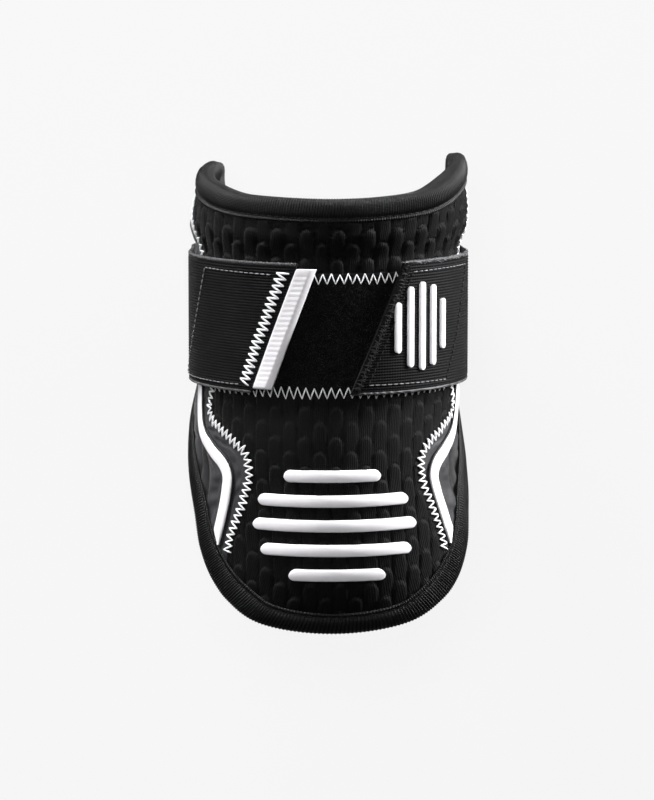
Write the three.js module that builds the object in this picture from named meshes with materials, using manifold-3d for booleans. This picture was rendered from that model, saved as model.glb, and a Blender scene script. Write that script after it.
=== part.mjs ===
// A baseball batter's elbow guard, lying face up on the flat back run of its fastened strap. Millimetres.
// +X runs across the arm, +Y up the arm towards the shoulder, and +Z out of the guard's face.
// The origin is the middle of the strap's back run, on the surface that the guard lies on.
// A padded wall bends round the arm. A place on it is a turn, the angle round the arm from the middle of
// the face, a height y along the arm, and a height h above the cover's outer face.
import * as THREE from "three";
import { mergeVertices } from "three/addons/utils/BufferGeometryUtils.js";
import Module from "manifold-3d";

const wasm = await Module();
wasm.setup();
const { degToRad, lerp, clamp } = THREE.MathUtils;

// Overall form
const shellRadius = 54.5; // cover's outer face from the arm's axis, above the strap
const strapDent = 2.8; // how far the strap squeezes the padding in
const wrapHalf = degToRad(134); // from the middle of the face to the rearmost point of each wing
const reachDown = 118; // from the strap's middle to the bottom of the tongue
const frontUp = 48; // from the strap's middle to the top of the face
const horns = {
  left: { up: 56.1, turn: degToRad(113) },
  right: { up: 60.2, turn: degToRad(98) },
};

// Layers of the wall and what lies on it
const gap = 0.3; // between pieces that touch
const facetGap = 0.6; // between curved pieces whose facets differ
const padGap = 0.9; // between the two padded layers
const coverThickness = 3;
const padThickness = 3.4;
const bindingThickness = 1.1;
const bindingWidth = 7.3; // from the wall's edge to the tape's stitched edge
const bindingCorner = 2.6;
const seamGap = 0.4;
const seamSway = 2.1; // how far round to the right the two seams of the face sit
const loopThickness = 0.8;
const hookThickness = 0.8;
const stripeWidth = 4.9;
const stripeThickness = 0.9;
const grooveRadius = 2.2;
const grooveDepth = 1.1;

// Strap and what is on it
const strapWidth = 50;
const strapThickness = 1.6;
const leftEndOut = 21.6; // from the middle of the face, round the cover, at the strap's middle height
const leftEndLean = degToRad(19.5);
const rightEndOut = 16.1;
const rightEndLean = degToRad(22.3);
const hookLength = 40;
const hookMargin = 4; // from the strap's edge
const loopHalf = 57.5; // half of the loop panel's length round the cover
const loopLowMargin = 0.3; // from the strap's lower edge to the panel's
const loopHighMargin = 4.1;
const strapTurnIn = 4; // length of the bend beside each corner of the back run
const tabWidth = 6.7;
const tabHeight = 2.6;
const tabMargin = 1.4; // from the strap's edges to the tab's ends

// Raised bars on the face and on the strap
const barCount = 5;
const faceBarsDown = 76; // from the strap's middle to the middle bar
const faceBarPitch = 9.6;
const faceBarWidth = 4.6;
const faceBarHeight = 1.2;
const faceBarLongest = 65;
const strapBarsTurn = degToRad(37.5);
const strapBarPitch = 5.2;
const strapBarWidth = 2.6;
const strapBarHeight = 0.6;
const strapBarLongest = 34;
const barEndRows = [0, 0.2, 0.55, 1]; // shares of a bar's half width, from its tip
const ovalShrink = 0.82; // how much of the bars' stack follows an oval

// Facet counts
const seamRows = 24;
const coverColumns = 16;
const wingColumns = 8;
const padColumns = 22;
const padRows = 20;
const edgeStep = 8; // longest step along the outline
const barStep = 6.5;
const strapStep = degToRad(6);
const strapRows = 3;

// Sections of the wall, from the tongue to the horns. at is a share of reachDown below the strap's
// middle and of frontUp above it. radius and front are shares of shellRadius: the section's radius, and
// how far the face stands from the arm's axis. sway is how far the section's middle lies to the right.
const sections = [
  { at: -1, radius: 1.5, front: 0.875, sway: 0 },
  { at: -0.95, radius: 1.43, front: 0.925, sway: 0.01 },
  { at: -0.87, radius: 1.28, front: 0.968, sway: 0.02 },
  { at: -0.757, radius: 1.138, front: 0.99, sway: 0.016 },
  { at: -0.628, radius: 1.05, front: 0.99, sway: 0.004 },
  { at: -0.5, radius: 0.984, front: 0.986, sway: -0.014 },
  { at: -0.39, radius: 0.957, front: 0.98, sway: -0.02 },
];
const upperSections = [
  { at: 0.75, radius: 0.992, front: 0.996, sway: 0 },
  { at: 0.87, radius: 0.985, front: 0.995, sway: 0.01 },
  { at: 1, radius: 0.962, front: 0.98, sway: 0.022 },
  { at: 1.28, radius: 0.913, front: 0.94, sway: 0.036 },
];

// Half of the wall's outline. Below its rearmost point, turn is a share of wrapHalf and down of reachDown.
const lowerEdge = [
  { turn: 0.149, down: 0.972 },
  { turn: 0.246, down: 0.907 },
  { turn: 0.328, down: 0.838 }, // the seam's foot
  { turn: 0.418, down: 0.744 },
  { turn: 0.498, down: 0.623 },
  { turn: 0.597, down: 0.516 }, // the inner pad's lower corner
  { turn: 0.716, down: 0.396 },
  { turn: 0.843, down: 0.258 },
  { turn: 0.948, down: 0.112 },
];
const seamFootRow = 2;
const padCornerRow = 5;
const rearmostUp = 0.167; // share of frontUp
// From the rearmost point to the horn's tip: shares of the way forward and up between the two.
const rearEdge = [
  { forward: 0.07, up: 0.2 },
  { forward: 0.3, up: 0.5 },
  { forward: 0.58, up: 0.75 },
  { forward: 0.83, up: 0.915 },
];
// From the horn's tip to the middle of the face: shares of the horn's turn and of its rise.
const topEdge = [
  { along: 0.9, lift: 0.95 },
  { along: 0.78, lift: 0.8 },
  { along: 0.65, lift: 0.55 },
  { along: 0.55, lift: 0.34 },
  { along: 0.42, lift: 0.14 },
  { along: 0.22, lift: 0.04 },
];

// Seam between the face cover and a wing cover, from its foot. turn is a share of wrapHalf, and at of
// reachDown below the strap's middle and of frontUp above it.
const seam = [
  { turn: 0.337, at: -0.712 },
  { turn: 0.308, at: -0.592 },
  { turn: 0.288, at: -0.485 },
  { turn: 0.31, at: -0.415 },
  { turn: 0.362, at: -0.382 },
  { turn: 0.427, at: -0.348 },
  { turn: 0.483, at: -0.32 },
  { turn: 0.502, at: -0.289 },
  { turn: 0.489, at: -0.25 },
  { turn: 0.484, at: -0.215 },
  { turn: 0.522, at: 0 },
  { turn: 0.56, at: 0.52 },
  { turn: 0.6, at: 0.7 },
];
const seamTop = { turn: 0.93, lift: 0.35 }; // share of the horn's turn, and of its rise

// Middle of a wing's stripe, and of its two pressed grooves, from the top. Shares as for the seam.
const stripe = [
  { turn: 0.557, at: -0.2 },
  { turn: 0.55, at: -0.3 },
  { turn: 0.52, at: -0.372 },
  { turn: 0.444, at: -0.425 },
  { turn: 0.38, at: -0.465 },
  { turn: 0.357, at: -0.5 },
  { turn: 0.355, at: -0.55 },
  { turn: 0.361, at: -0.641 },
  { turn: 0.362, at: -0.7 },
];
const stripeShares = [0.9, 1, 1, 1, 1, 1, 1, 0.95, 0.2]; // of stripeWidth, from the top
const grooves = [
  [
    { turn: 0.5, at: -0.44 },
    { turn: 0.478, at: -0.5 },
    { turn: 0.455, at: -0.6 },
  ],
  [
    { turn: 0.58, at: -0.37 },
    { turn: 0.545, at: -0.44 },
    { turn: 0.51, at: -0.53 },
  ],
];
const grooveShares = [0.05, 0.75, 1, 0.75, 0.05]; // of grooveRadius, from end to end

// How high the strap's inner face runs above the cover, round the arm. It clears the fastener patches on
// the face, then lies on the cover, and then rides over the binding.
const overPatches = gap + loopThickness + hookThickness + 2 * facetGap;
const overBinding = bindingThickness + 2 * facetGap;
const strapHeights = [
  { y: 0, height: overPatches },
  { y: degToRad(66), height: overPatches },
  { y: degToRad(80), height: overBinding },
  { y: degToRad(92), height: facetGap },
  { y: degToRad(98), height: facetGap },
  { y: degToRad(108), height: overBinding },
  { y: Math.PI, height: overBinding },
];
const strapLeaves = degToRad(128); // where the strap runs straight on to the back

const wallThickness = coverThickness + padGap + padThickness;
const bindingOut = facetGap + bindingThickness;
const strapSeat = shellRadius - strapDent;
const wingDrop = -Math.cos(wrapHalf + (facetGap + bindingThickness) / strapSeat);
const axisHeight = strapThickness + facetGap + (strapSeat + bindingOut) * wingDrop;

// Helpers for curves

// Returns a smooth curve through a column of rows, in order of y, that never overshoots them and runs
// straight on past them.
function through(rows, column) {
  const last = rows.length - 1;
  const slopes = rows
    .slice(1)
    .map((row, i) => (row[column] - rows[i][column]) / (row.y - rows[i].y));
  const tangents = rows.map((_, i) => {
    if (i === 0) return slopes[0];
    if (i === last) return slopes[last - 1];
    const [before, after] = [slopes[i - 1], slopes[i]];
    return before * after <= 0 ? 0 : (2 * before * after) / (before + after);
  });
  return (value) => {
    const y = clamp(value, rows[0].y, rows[last].y);
    let i = 0;
    while (i < last - 1 && y > rows[i + 1].y) i += 1;
    const span = rows[i + 1].y - rows[i].y;
    const t = (y - rows[i].y) / span;
    const rise = rows[i + 1][column] - rows[i][column];
    const ease = t * t * (3 - 2 * t);
    const start = t * (1 - t) * (1 - t) * span * tangents[i];
    const end = t * t * (1 - t) * span * tangents[i + 1];
    const beyond = (value - y) * (value < y ? tangents[0] : tangents[last]);
    return rows[i][column] + rise * ease + start - end + beyond;
  };
}

// A height from a share of reachDown or frontUp.
const heightOf = (at) => at * (at < 0 ? reachDown : frontUp);

// The wall's sections, with the band under the strap squeezed to one radius.
const strapEdge = strapWidth / 2 + 1;
const bandRow = { radius: strapSeat, front: strapSeat, sway: -0.008 * shellRadius };
const sectionRow = ({ at, radius, front, sway }) => ({
  y: heightOf(at),
  radius: radius * shellRadius,
  front: front * shellRadius,
  sway: sway * shellRadius,
});
const sectionRows = [
  ...sections.map(sectionRow),
  { y: -strapEdge, ...bandRow },
  { y: strapEdge, ...bandRow },
  ...upperSections.map(sectionRow),
];
const radiusAt = through(sectionRows, "radius");
const frontAt = through(sectionRows, "front");
const swayAt = through(sectionRows, "sway");
const strapHeightAt = through(strapHeights, "height");

// A point of the cover's outer face.
function onCover(turn, y) {
  const radius = radiusAt(y);
  const middle = axisHeight + frontAt(y) - radius;
  return new THREE.Vector3(swayAt(y) + radius * Math.sin(turn), y, middle + radius * Math.cos(turn));
}

// The point at height h above the cover's outer face.
function place(turn, y, h) {
  const step = 0.01;
  const across = new THREE.Vector3(Math.cos(turn), 0, -Math.sin(turn));
  const along = onCover(turn, y + step).sub(onCover(turn, y - step));
  return onCover(turn, y).addScaledVector(across.cross(along).normalize(), h);
}

// Flat pattern points are { turn, y }. A spline runs through them as lengths on shellRadius.
function spline(points, closed) {
  const flat = points.map(({ turn, y }) => new THREE.Vector3(turn * shellRadius, y, 0));
  return new THREE.CatmullRomCurve3(flat, closed, "centripetal");
}

// Points at even distances along a spline between two of its parameters.
function evenly(curve, from, to, count) {
  const fine = 400;
  const samples = Array.from({ length: fine + 1 }, (_, i) => curve.getPoint(lerp(from, to, i / fine)));
  const lengths = [0];
  samples.slice(1).forEach((p, i) => lengths.push(lengths[i] + p.distanceTo(samples[i])));
  let k = 0;
  return Array.from({ length: count + 1 }, (_, i) => {
    const wanted = (lengths[fine] * i) / count;
    while (k < fine - 1 && lengths[k + 1] < wanted) k += 1;
    const share = (wanted - lengths[k]) / (lengths[k + 1] - lengths[k]);
    const p = samples[k].clone().lerp(samples[k + 1], clamp(share, 0, 1));
    return { turn: p.x / shellRadius, y: p.y };
  });
}

// A flat pattern point moved by a distance to the right of the line's direction.
function beside({ turn, y }, direction, distance) {
  const size = Math.hypot(direction.s, direction.y);
  const across = { s: direction.y / size, y: -direction.s / size };
  return { turn: turn + (across.s * distance) / radiusAt(y), y: y + across.y * distance };
}

// The direction of a line of flat pattern points at one of them.
function heading(points, i, closed = false) {
  const n = points.length;
  const before = closed ? points[(i + n - 1) % n] : points[Math.max(i - 1, 0)];
  const after = closed ? points[(i + 1) % n] : points[Math.min(i + 1, n - 1)];
  return { s: (after.turn - before.turn) * radiusAt(points[i].y), y: after.y - before.y };
}

const mirror = ({ turn, y }) => ({ turn: -turn, y });

// Outline and seams

// Half of the outline, from beside the bottom of the tongue to beside the top of the face.
function halfOutline({ up, turn }) {
  const rearmost = { turn: wrapHalf, y: rearmostUp * frontUp };
  return [
    ...lowerEdge.map((row) => ({ turn: row.turn * wrapHalf, y: -row.down * reachDown })),
    rearmost,
    ...rearEdge.map((row) => ({
      turn: lerp(wrapHalf, turn, row.forward),
      y: lerp(rearmost.y, up, row.up),
    })),
    { turn, y: up },
    ...topEdge.map((row) => ({ turn: row.along * turn, y: lerp(frontUp, up, row.lift) })),
  ];
}
const rightHalf = halfOutline(horns.right);
const leftHalf = halfOutline(horns.left).map(mirror);
const outlinePoints = [
  { turn: 0, y: -reachDown },
  ...rightHalf,
  { turn: 0, y: frontUp },
  ...leftHalf.toReversed(),
];
const outline = spline(outlinePoints, true);
const stretches = outlinePoints.length;
const seamTopRow = lowerEdge.length + rearEdge.length + 1; // the horn's tip
// The outline's parameter at a row of a half, whose points come after the bottom point.
const rightAt = (row) => (row + 1) / stretches;
const leftAt = (row) => 1 - rightAt(row);

// The seam on one side, from its foot to its top, with as many rows as both covers beside it have.
function seamLine(half, { up, turn }, sway) {
  const foot = half[seamFootRow];
  const tip = { turn, y: up };
  const beforeTip = { turn: seamTop.turn * turn, y: lerp(frontUp, up, seamTop.lift) - gap };
  const rows = seam.map((row) => ({
    turn: row.turn * wrapHalf + sway / shellRadius,
    y: heightOf(row.at),
  }));
  return evenly(spline([foot, ...rows, beforeTip, tip], false), 0, 1, seamRows);
}
const seams = {
  right: seamLine(rightHalf, horns.right, seamSway),
  left: seamLine(leftHalf.map(mirror), horns.left, -seamSway).map(mirror),
};

// A seam moved aside by half its gap. side is 1 for the right of the line.
const asideOfSeam = (line, side) =>
  line.map((p, i) => beside(p, heading(line, i), (side * seamGap) / 2));

// Solids

// A mesh from rings of points, each joined to the next, as triangles facing out.
function geometryOf(positions, triangles) {
  const kept = triangles.filter(([a, b, c]) => {
    const [p, q, r] = [positions[a], positions[b], positions[c]];
    const near = 1e-4;
    return p.distanceTo(q) > near && q.distanceTo(r) > near && r.distanceTo(p) > near;
  });
  const corners = kept.flat().flatMap((i) => positions[i].toArray());
  const geometry = new THREE.BufferGeometry();
  geometry.setAttribute("position", new THREE.Float32BufferAttribute(corners, 3));
  return mergeVertices(geometry, 1e-3);
}

// A grid of flat pattern points between four edges that share their corners.
function patch(bottom, top, left, right) {
  const mix = (a, b, t) => ({ turn: lerp(a.turn, b.turn, t), y: lerp(a.y, b.y, t) });
  return left.map((_, j) =>
    bottom.map((_, i) => {
      const [u, v] = [i / (bottom.length - 1), j / (left.length - 1)];
      const rows = mix(bottom[i], top[i], v);
      const columns = mix(left[j], right[j], u);
      const corners = mix(
        mix(bottom[0], bottom.at(-1), u),
        mix(top[0], top.at(-1), u),
        v,
      );
      return {
        turn: rows.turn + columns.turn - corners.turn,
        y: rows.y + columns.y - corners.y,
      };
    }),
  );
}

// A wall over a grid of flat pattern points, from one height to another. A height is a number or a
// function of the point.
function wall(grid, low, high) {
  const rows = grid.length;
  const columns = grid[0].length;
  const at = (height, p) => (typeof height === "function" ? height(p) : height);
  const flat = grid.flat();
  const positions = [high, low].flatMap((h) => flat.map((p) => place(p.turn, p.y, at(h, p))));
  const top = (j, i) => j * columns + i;
  const bottom = (j, i) => rows * columns + top(j, i);
  const triangles = [];
  const quad = (a, b, c, d) => triangles.push([a, b, c], [a, c, d]);
  for (let j = 0; j < rows - 1; j += 1) {
    for (let i = 0; i < columns - 1; i += 1) {
      quad(top(j, i), top(j, i + 1), top(j + 1, i + 1), top(j + 1, i));
      quad(bottom(j, i), bottom(j + 1, i), bottom(j + 1, i + 1), bottom(j, i + 1));
    }
    quad(top(j, 0), top(j + 1, 0), bottom(j + 1, 0), bottom(j, 0));
    quad(top(j + 1, columns - 1), top(j, columns - 1), bottom(j, columns - 1), bottom(j + 1, columns - 1));
  }
  for (let i = 0; i < columns - 1; i += 1) {
    quad(top(0, i + 1), top(0, i), bottom(0, i), bottom(0, i + 1));
    quad(top(rows - 1, i), top(rows - 1, i + 1), bottom(rows - 1, i + 1), bottom(rows - 1, i));
  }
  return geometryOf(positions, triangles);
}

// A solid swept through rings of the same number of points, each clockwise as seen along the sweep.
// An open sweep is closed by its end rings, which are convex.
function sweep(rings, closed) {
  const size = rings[0].length;
  const triangles = [];
  const steps = closed ? rings.length : rings.length - 1;
  for (let k = 0; k < steps; k += 1) {
    const [here, next] = [k * size, ((k + 1) % rings.length) * size];
    for (let i = 0; i < size; i += 1) {
      const j = (i + 1) % size;
      triangles.push([here + i, next + j, next + i], [here + i, here + j, next + j]);
    }
  }
  if (!closed) {
    const end = (rings.length - 1) * size;
    for (let i = 1; i < size - 1; i += 1) {
      triangles.push([0, i + 1, i], [end, end + i, end + i + 1]);
    }
  }
  return geometryOf(rings.flat(), triangles);
}

// A strip that lies on the wall along flat pattern points, with a section of { across, h } points, where
// across is a share of the half width there and h a height above the base.
function strip(line, halfWidths, section, base) {
  const rings = line.map((p, i) =>
    section.map(({ across, h }) => {
      const moved = beside(p, heading(line, i), across * halfWidths[i]);
      return place(moved.turn, moved.y, base(moved) + h);
    }),
  );
  return sweep(rings, false);
}

// Boolean operations on meshes
function solidOf(geometry) {
  const merged = mergeVertices(geometry, 1e-3);
  return new wasm.Manifold(
    new wasm.Mesh({
      numProp: 3,
      vertProperties: merged.attributes.position.array,
      triVerts: new Uint32Array(merged.index.array),
    }),
  );
}
function geometryFrom(solid) {
  const { vertProperties, triVerts } = solid.getMesh();
  const geometry = new THREE.BufferGeometry();
  geometry.setAttribute("position", new THREE.BufferAttribute(new Float32Array(vertProperties), 3));
  geometry.setIndex(new THREE.BufferAttribute(new Uint32Array(triVerts), 1));
  return geometry;
}

// The padded wall

function innerPad() {
  const corners = [leftAt(padCornerRow), 1 + rightAt(padCornerRow)];
  const bottom = evenly(loop, corners[0], corners[1], padColumns);
  const top = evenly(outline, leftAt(seamTopRow), rightAt(seamTopRow), padColumns);
  const left = evenly(outline, leftAt(padCornerRow), leftAt(seamTopRow), padRows);
  const right = evenly(outline, rightAt(padCornerRow), rightAt(seamTopRow), padRows);
  return wall(patch(bottom, top, left, right), -wallThickness, -coverThickness - padGap);
}

// The outline with parameters past 1, for a stretch that crosses the bottom of the tongue.
const loop = { getPoint: (t) => outline.getPoint(t % 1) };

function faceCover() {
  const left = asideOfSeam(seams.left, 1);
  const right = asideOfSeam(seams.right, -1);
  const bottom = evenly(loop, leftAt(seamFootRow), 1 + rightAt(seamFootRow), coverColumns);
  const top = evenly(outline, leftAt(seamTopRow), rightAt(seamTopRow), coverColumns);
  [bottom[0], bottom[coverColumns], top[0], top[coverColumns]] = [left[0], right[0], left.at(-1), right.at(-1)];
  return wall(patch(bottom, top, left, right), -coverThickness, 0);
}

function wingCover(side) {
  const isRight = side === "right";
  const line = asideOfSeam(seams[side], isRight ? 1 : -1);
  const at = isRight ? rightAt : leftAt;
  const rear = evenly(outline, at(seamFootRow), at(seamTopRow), seamRows);
  const front = [rear[0], ...line.slice(1, -1), rear.at(-1)];
  const [left, right] = isRight ? [front, rear] : [rear, front];
  const end = (p) => Array(wingColumns + 1).fill(p);
  const grid = patch(end(left[0]), end(left.at(-1)), left, right);
  const cover = solidOf(wall(grid, -coverThickness, 0));
  const pressed = grooves.reduce((left, rows) => left.subtract(solidOf(groove(rows, side))), cover);
  return geometryFrom(pressed);
}

// A spindle that lies along the cover and presses a groove into it.
function groove(rows, side) {
  const sign = side === "right" ? 1 : -1;
  const points = rows.map((row) => ({ turn: sign * row.turn * wrapHalf, y: heightOf(row.at) }));
  const line = evenly(spline(points, false), 0, 1, grooveShares.length - 1);
  const corners = 8;
  const rings = line.map((p, i) => {
    const radius = grooveRadius * grooveShares[i];
    const sunk = (grooveRadius - grooveDepth) * grooveShares[i];
    return Array.from({ length: corners }, (_, k) => {
      const angle = (2 * Math.PI * (k + 0.5)) / corners;
      const moved = beside(p, heading(line, i), radius * Math.sin(angle));
      return place(moved.turn, moved.y, sunk + radius * Math.cos(angle));
    });
  });
  return sweep(rings, false);
}

function wingStripe(side) {
  const sign = side === "right" ? 1 : -1;
  const points = stripe.map((row) => ({ turn: sign * row.turn * wrapHalf, y: heightOf(row.at) }));
  const steps = 3 * (stripe.length - 1);
  const line = evenly(spline(points, false), 0, 1, steps);
  const shares = through(stripeShares.map((share, y) => ({ y, share })), "share");
  const halfWidths = line.map((_, i) => (stripeWidth / 2) * shares((i / steps) * (stripe.length - 1)));
  return strip(line, halfWidths, lowSection(stripeThickness), () => gap);
}

// A low strip's section, with its upper corners taken off.
const lowSection = (height) => [
  { across: -1, h: 0 },
  { across: -1, h: 0.55 * height },
  { across: -0.75, h: height },
  { across: 0.75, h: height },
  { across: 1, h: 0.55 * height },
  { across: 1, h: 0 },
];

// The tape folded over the wall's edge. in is the distance into the wall from its edge.
function edgeBinding() {
  const [out, inner] = [bindingOut, -wallThickness - bindingOut];
  const edge = -facetGap - bindingThickness;
  const arc = (h, from) =>
    [0, 1, 2].map((i) => {
      const angle = from + (i * Math.PI) / 4;
      return { in: edge + bindingCorner * (1 - Math.sin(angle)), h: h + bindingCorner * Math.cos(angle) };
    });
  const section = [
    { in: bindingWidth, h: facetGap },
    { in: bindingWidth, h: out },
    ...arc(out - bindingCorner, 0),
    ...arc(inner + bindingCorner, Math.PI / 2),
    { in: bindingWidth, h: inner },
    { in: bindingWidth, h: -wallThickness - facetGap },
    { in: -facetGap, h: -wallThickness - facetGap },
    { in: -facetGap, h: facetGap },
  ];
  const line = outlinePoints.flatMap((_, i) => {
    const [from, to] = [i / stretches, (i + 1) / stretches];
    const length = outline.getPoint(from).distanceTo(outline.getPoint(to));
    return evenly(outline, from, to, Math.ceil(length / edgeStep)).slice(0, -1);
  });
  const rings = line.map((p, i) =>
    section.map((corner) => {
      const moved = beside(p, heading(line, i, true), -corner.in);
      return place(moved.turn, moved.y, corner.h);
    }),
  );
  return sweep(rings, true);
}

// Strap and fasteners

// The strap's inner face in the XZ plane, from the middle of the face round one side to the middle of
// the back, as stations { x, z, nx, nz } with the direction that faces out.
function strapStation(turn) {
  const radius = strapSeat + strapHeightAt(Math.abs(turn));
  const sway = swayAt(0);
  const [nx, nz] = [Math.sin(turn), Math.cos(turn)];
  return { x: sway + radius * nx, z: axisHeight + radius * nz, nx, nz };
}

// The stations round one wing, after the strap's end: round the cover, straight on and round the bend.
function strapSide(sign, from) {
  const steps = Math.round((strapLeaves - from) / strapStep);
  const round = Array.from({ length: steps + 1 }, (_, i) =>
    strapStation(sign * lerp(from, strapLeaves, i / steps)),
  );
  const last = round.at(-1);
  const down = (last.z - strapThickness) / Math.sin(strapLeaves);
  const corner = { x: last.x + sign * down * Math.cos(strapLeaves), z: strapThickness };
  const start = new THREE.Vector2(
    corner.x - sign * strapTurnIn * Math.cos(strapLeaves),
    corner.z + strapTurnIn * Math.sin(strapLeaves),
  );
  const end = new THREE.Vector2(corner.x - sign * strapTurnIn, corner.z);
  const bend = new THREE.QuadraticBezierCurve(start, new THREE.Vector2(corner.x, corner.z), end);
  const bends = [0, 0.25, 0.5, 0.75, 1].map((t) => {
    const p = bend.getPoint(t);
    const tangent = bend.getTangent(t);
    return { x: p.x, z: p.y, nx: -sign * tangent.y, nz: sign * tangent.x };
  });
  return [...round, ...bends];
}

// How far round the cover an end of the strap lies at height y, as a turn.
const leftEndTurn = (y) => (y * Math.tan(leftEndLean) - leftEndOut) / strapSeat;
const rightEndTurn = (y) => (y * Math.tan(rightEndLean) + rightEndOut) / strapSeat;

function strapBand() {
  const half = strapWidth / 2;
  const leftFirst = -leftEndTurn(-half) + strapStep / 2;
  const rightFirst = rightEndTurn(half) + strapStep / 2;
  const rings = [...strapSide(-1, leftFirst), ...strapSide(1, rightFirst).toReversed()];
  const heights = Array.from({ length: strapRows + 1 }, (_, j) => lerp(-half, half, j / strapRows));
  const ring = (stationAt) => [
    ...heights.map((y) => stripPoint(stationAt(y), y, strapThickness)),
    ...heights.toReversed().map((y) => stripPoint(stationAt(y), y, 0)),
  ];
  // Stations that turn from the slant of an end to run straight across the strap.
  const slant = (endTurnAt, first) =>
    [0, 0.25, 0.5, 0.75].map((t) => ring((y) => strapStation(lerp(endTurnAt(y), first, t))));
  return endCapped([
    ...slant(leftEndTurn, -leftFirst),
    ...rings.map((s) => ring(() => s)),
    ...slant(rightEndTurn, rightFirst).toReversed(),
  ]);
}
const stripPoint = (s, y, out) => new THREE.Vector3(s.x + s.nx * out, y, s.z + s.nz * out);

// A sweep of rings made of an outer and an inner row, whose ends are closed row to row.
function endCapped(rings) {
  const size = rings[0].length;
  const positions = rings.flat();
  const triangles = [];
  for (let k = 0; k < rings.length - 1; k += 1) {
    for (let i = 0; i < size; i += 1) {
      const [a, b] = [k * size + i, k * size + ((i + 1) % size)];
      triangles.push([a, b, b + size], [a, b + size, a + size]);
    }
  }
  const last = (rings.length - 1) * size;
  for (let i = 0; i < size / 2 - 1; i += 1) {
    const [a, b, c, d] = [i, i + 1, size - 2 - i, size - 1 - i];
    triangles.push([a, d, c], [a, c, b]);
    triangles.push([last + a, last + c, last + d], [last + a, last + b, last + c]);
  }
  return geometryOf(positions, triangles);
}

// Points of a patch between two lines that depend on height.
function between(fromTurn, toTurn, low, high, columns, rows) {
  return Array.from({ length: rows + 1 }, (_, j) => {
    const y = lerp(low, high, j / rows);
    return Array.from({ length: columns + 1 }, (_, i) => ({
      turn: lerp(fromTurn(y), toTurn(y), i / columns),
      y,
    }));
  });
}

function loopPanelWall() {
  const edge = loopHalf / strapSeat;
  const low = loopLowMargin - strapWidth / 2;
  const high = strapWidth / 2 - loopHighMargin;
  const grid = between(() => -edge, () => edge, low, high, 18, 4);
  return wall(grid, gap, gap + loopThickness);
}

// A hook patch follows the strap's inner face. reach is how far it comes past the strap's end.
function hookPatch(side) {
  const isRight = side === "right";
  const tabReach = tabWidth / Math.cos(leftEndLean) - gap;
  const shown = isRight ? -1 : tabReach;
  const end = isRight ? rightEndTurn : leftEndTurn;
  const sign = isRight ? 1 : -1;
  const near = (y) => end(y) - (sign * shown) / strapSeat;
  const far = (y) => end(y) + (sign * hookLength) / strapSeat;
  const [from, to] = isRight ? [near, far] : [far, near];
  const half = strapWidth / 2 - hookMargin;
  const grid = between(from, to, -half, half, 8, 4);
  const top = ({ turn }) => strapHeightAt(Math.abs(turn)) - facetGap;
  return wall(grid, (p) => top(p) - hookThickness, top);
}

// The moulded tab along the strap's left end, with a wide bevel towards the middle of the face.
function pullTab() {
  const steps = 6;
  const middle = tabWidth / 2 / Math.cos(leftEndLean) + gap;
  const half = strapWidth / 2 - tabMargin;
  const line = Array.from({ length: steps + 1 }, (_, i) => {
    const y = lerp(-half, half, i / steps);
    return { turn: leftEndTurn(y) + middle / strapSeat, y };
  });
  const section = [
    { across: -1, h: 0 },
    { across: -1, h: 0.85 * tabHeight },
    { across: -0.88, h: tabHeight },
    { across: 0.4, h: tabHeight },
    { across: 1, h: 0.45 * tabHeight },
    { across: 1, h: 0 },
  ];
  const halfWidths = line.map(() => tabWidth / 2);
  return strip(line, halfWidths, section, () => overPatches);
}

// A bar with round ends, between two flat pattern points.
function bar(from, to, width, height, base) {
  const length = Math.hypot((to.turn - from.turn) * radiusAt(from.y), to.y - from.y);
  const end = width / 2 / length;
  const steps = Math.ceil((length - width) / barStep);
  const middle = Array.from({ length: steps - 1 }, (_, i) => lerp(end, 1 - end, (i + 1) / steps));
  const ends = barEndRows.map((t) => t * end);
  const shares = [...ends, ...middle, ...ends.map((t) => 1 - t).reverse()];
  const line = shares.map((t) => ({ turn: lerp(from.turn, to.turn, t), y: lerp(from.y, to.y, t) }));
  const round = barEndRows.map((t) => Math.sqrt(Math.max(1 - (1 - t) ** 2, 0.03)));
  const widths = [...round, ...middle.map(() => 1), ...round.toReversed()];
  return strip(line, widths.map((share) => (share * width) / 2), lowSection(height), base);
}

// Bars stacked to fill an oval.
const middleBar = (barCount - 1) / 2;
const barLength = (i, longest) => longest * Math.sqrt(1 - ((ovalShrink * (i - middleBar)) / middleBar) ** 2);

function faceBar(i) {
  const y = (middleBar - i) * faceBarPitch - faceBarsDown;
  const half = barLength(i, faceBarLongest) / 2 / radiusAt(y);
  return bar({ turn: -half, y }, { turn: half, y }, faceBarWidth, faceBarHeight, () => gap);
}

function strapBar(i) {
  const turn = strapBarsTurn + ((i - middleBar) * strapBarPitch) / strapSeat;
  const half = barLength(i, strapBarLongest) / 2;
  const base = (p) => strapHeightAt(Math.abs(p.turn)) + strapThickness + gap;
  return bar({ turn, y: -half }, { turn, y: half }, strapBarWidth, strapBarHeight, base);
}

// The guard

const finishes = {
  knit: { color: 0x17171a, roughness: 0.9, metalness: 0 },
  wing: { color: 0x3c3c3e, roughness: 0.75, metalness: 0 },
  lining: { color: 0x222225, roughness: 0.95, metalness: 0 },
  binding: { color: 0x1c1c1e, roughness: 0.8, metalness: 0 },
  webbing: { color: 0x1a1a1c, roughness: 0.85, metalness: 0 },
  fastener: { color: 0x0e0e10, roughness: 0.95, metalness: 0 },
  rubber: { color: 0xe9e8ea, roughness: 0.45, metalness: 0 },
};
const materials = Object.fromEntries(
  Object.entries(finishes).map(([name, finish]) => [name, new THREE.MeshStandardMaterial(finish)]),
);

const guard = new THREE.Group();
function add(name, geometry, finish) {
  const mesh = new THREE.Mesh(geometry, materials[finish]);
  mesh.name = name;
  guard.add(mesh);
}

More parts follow.
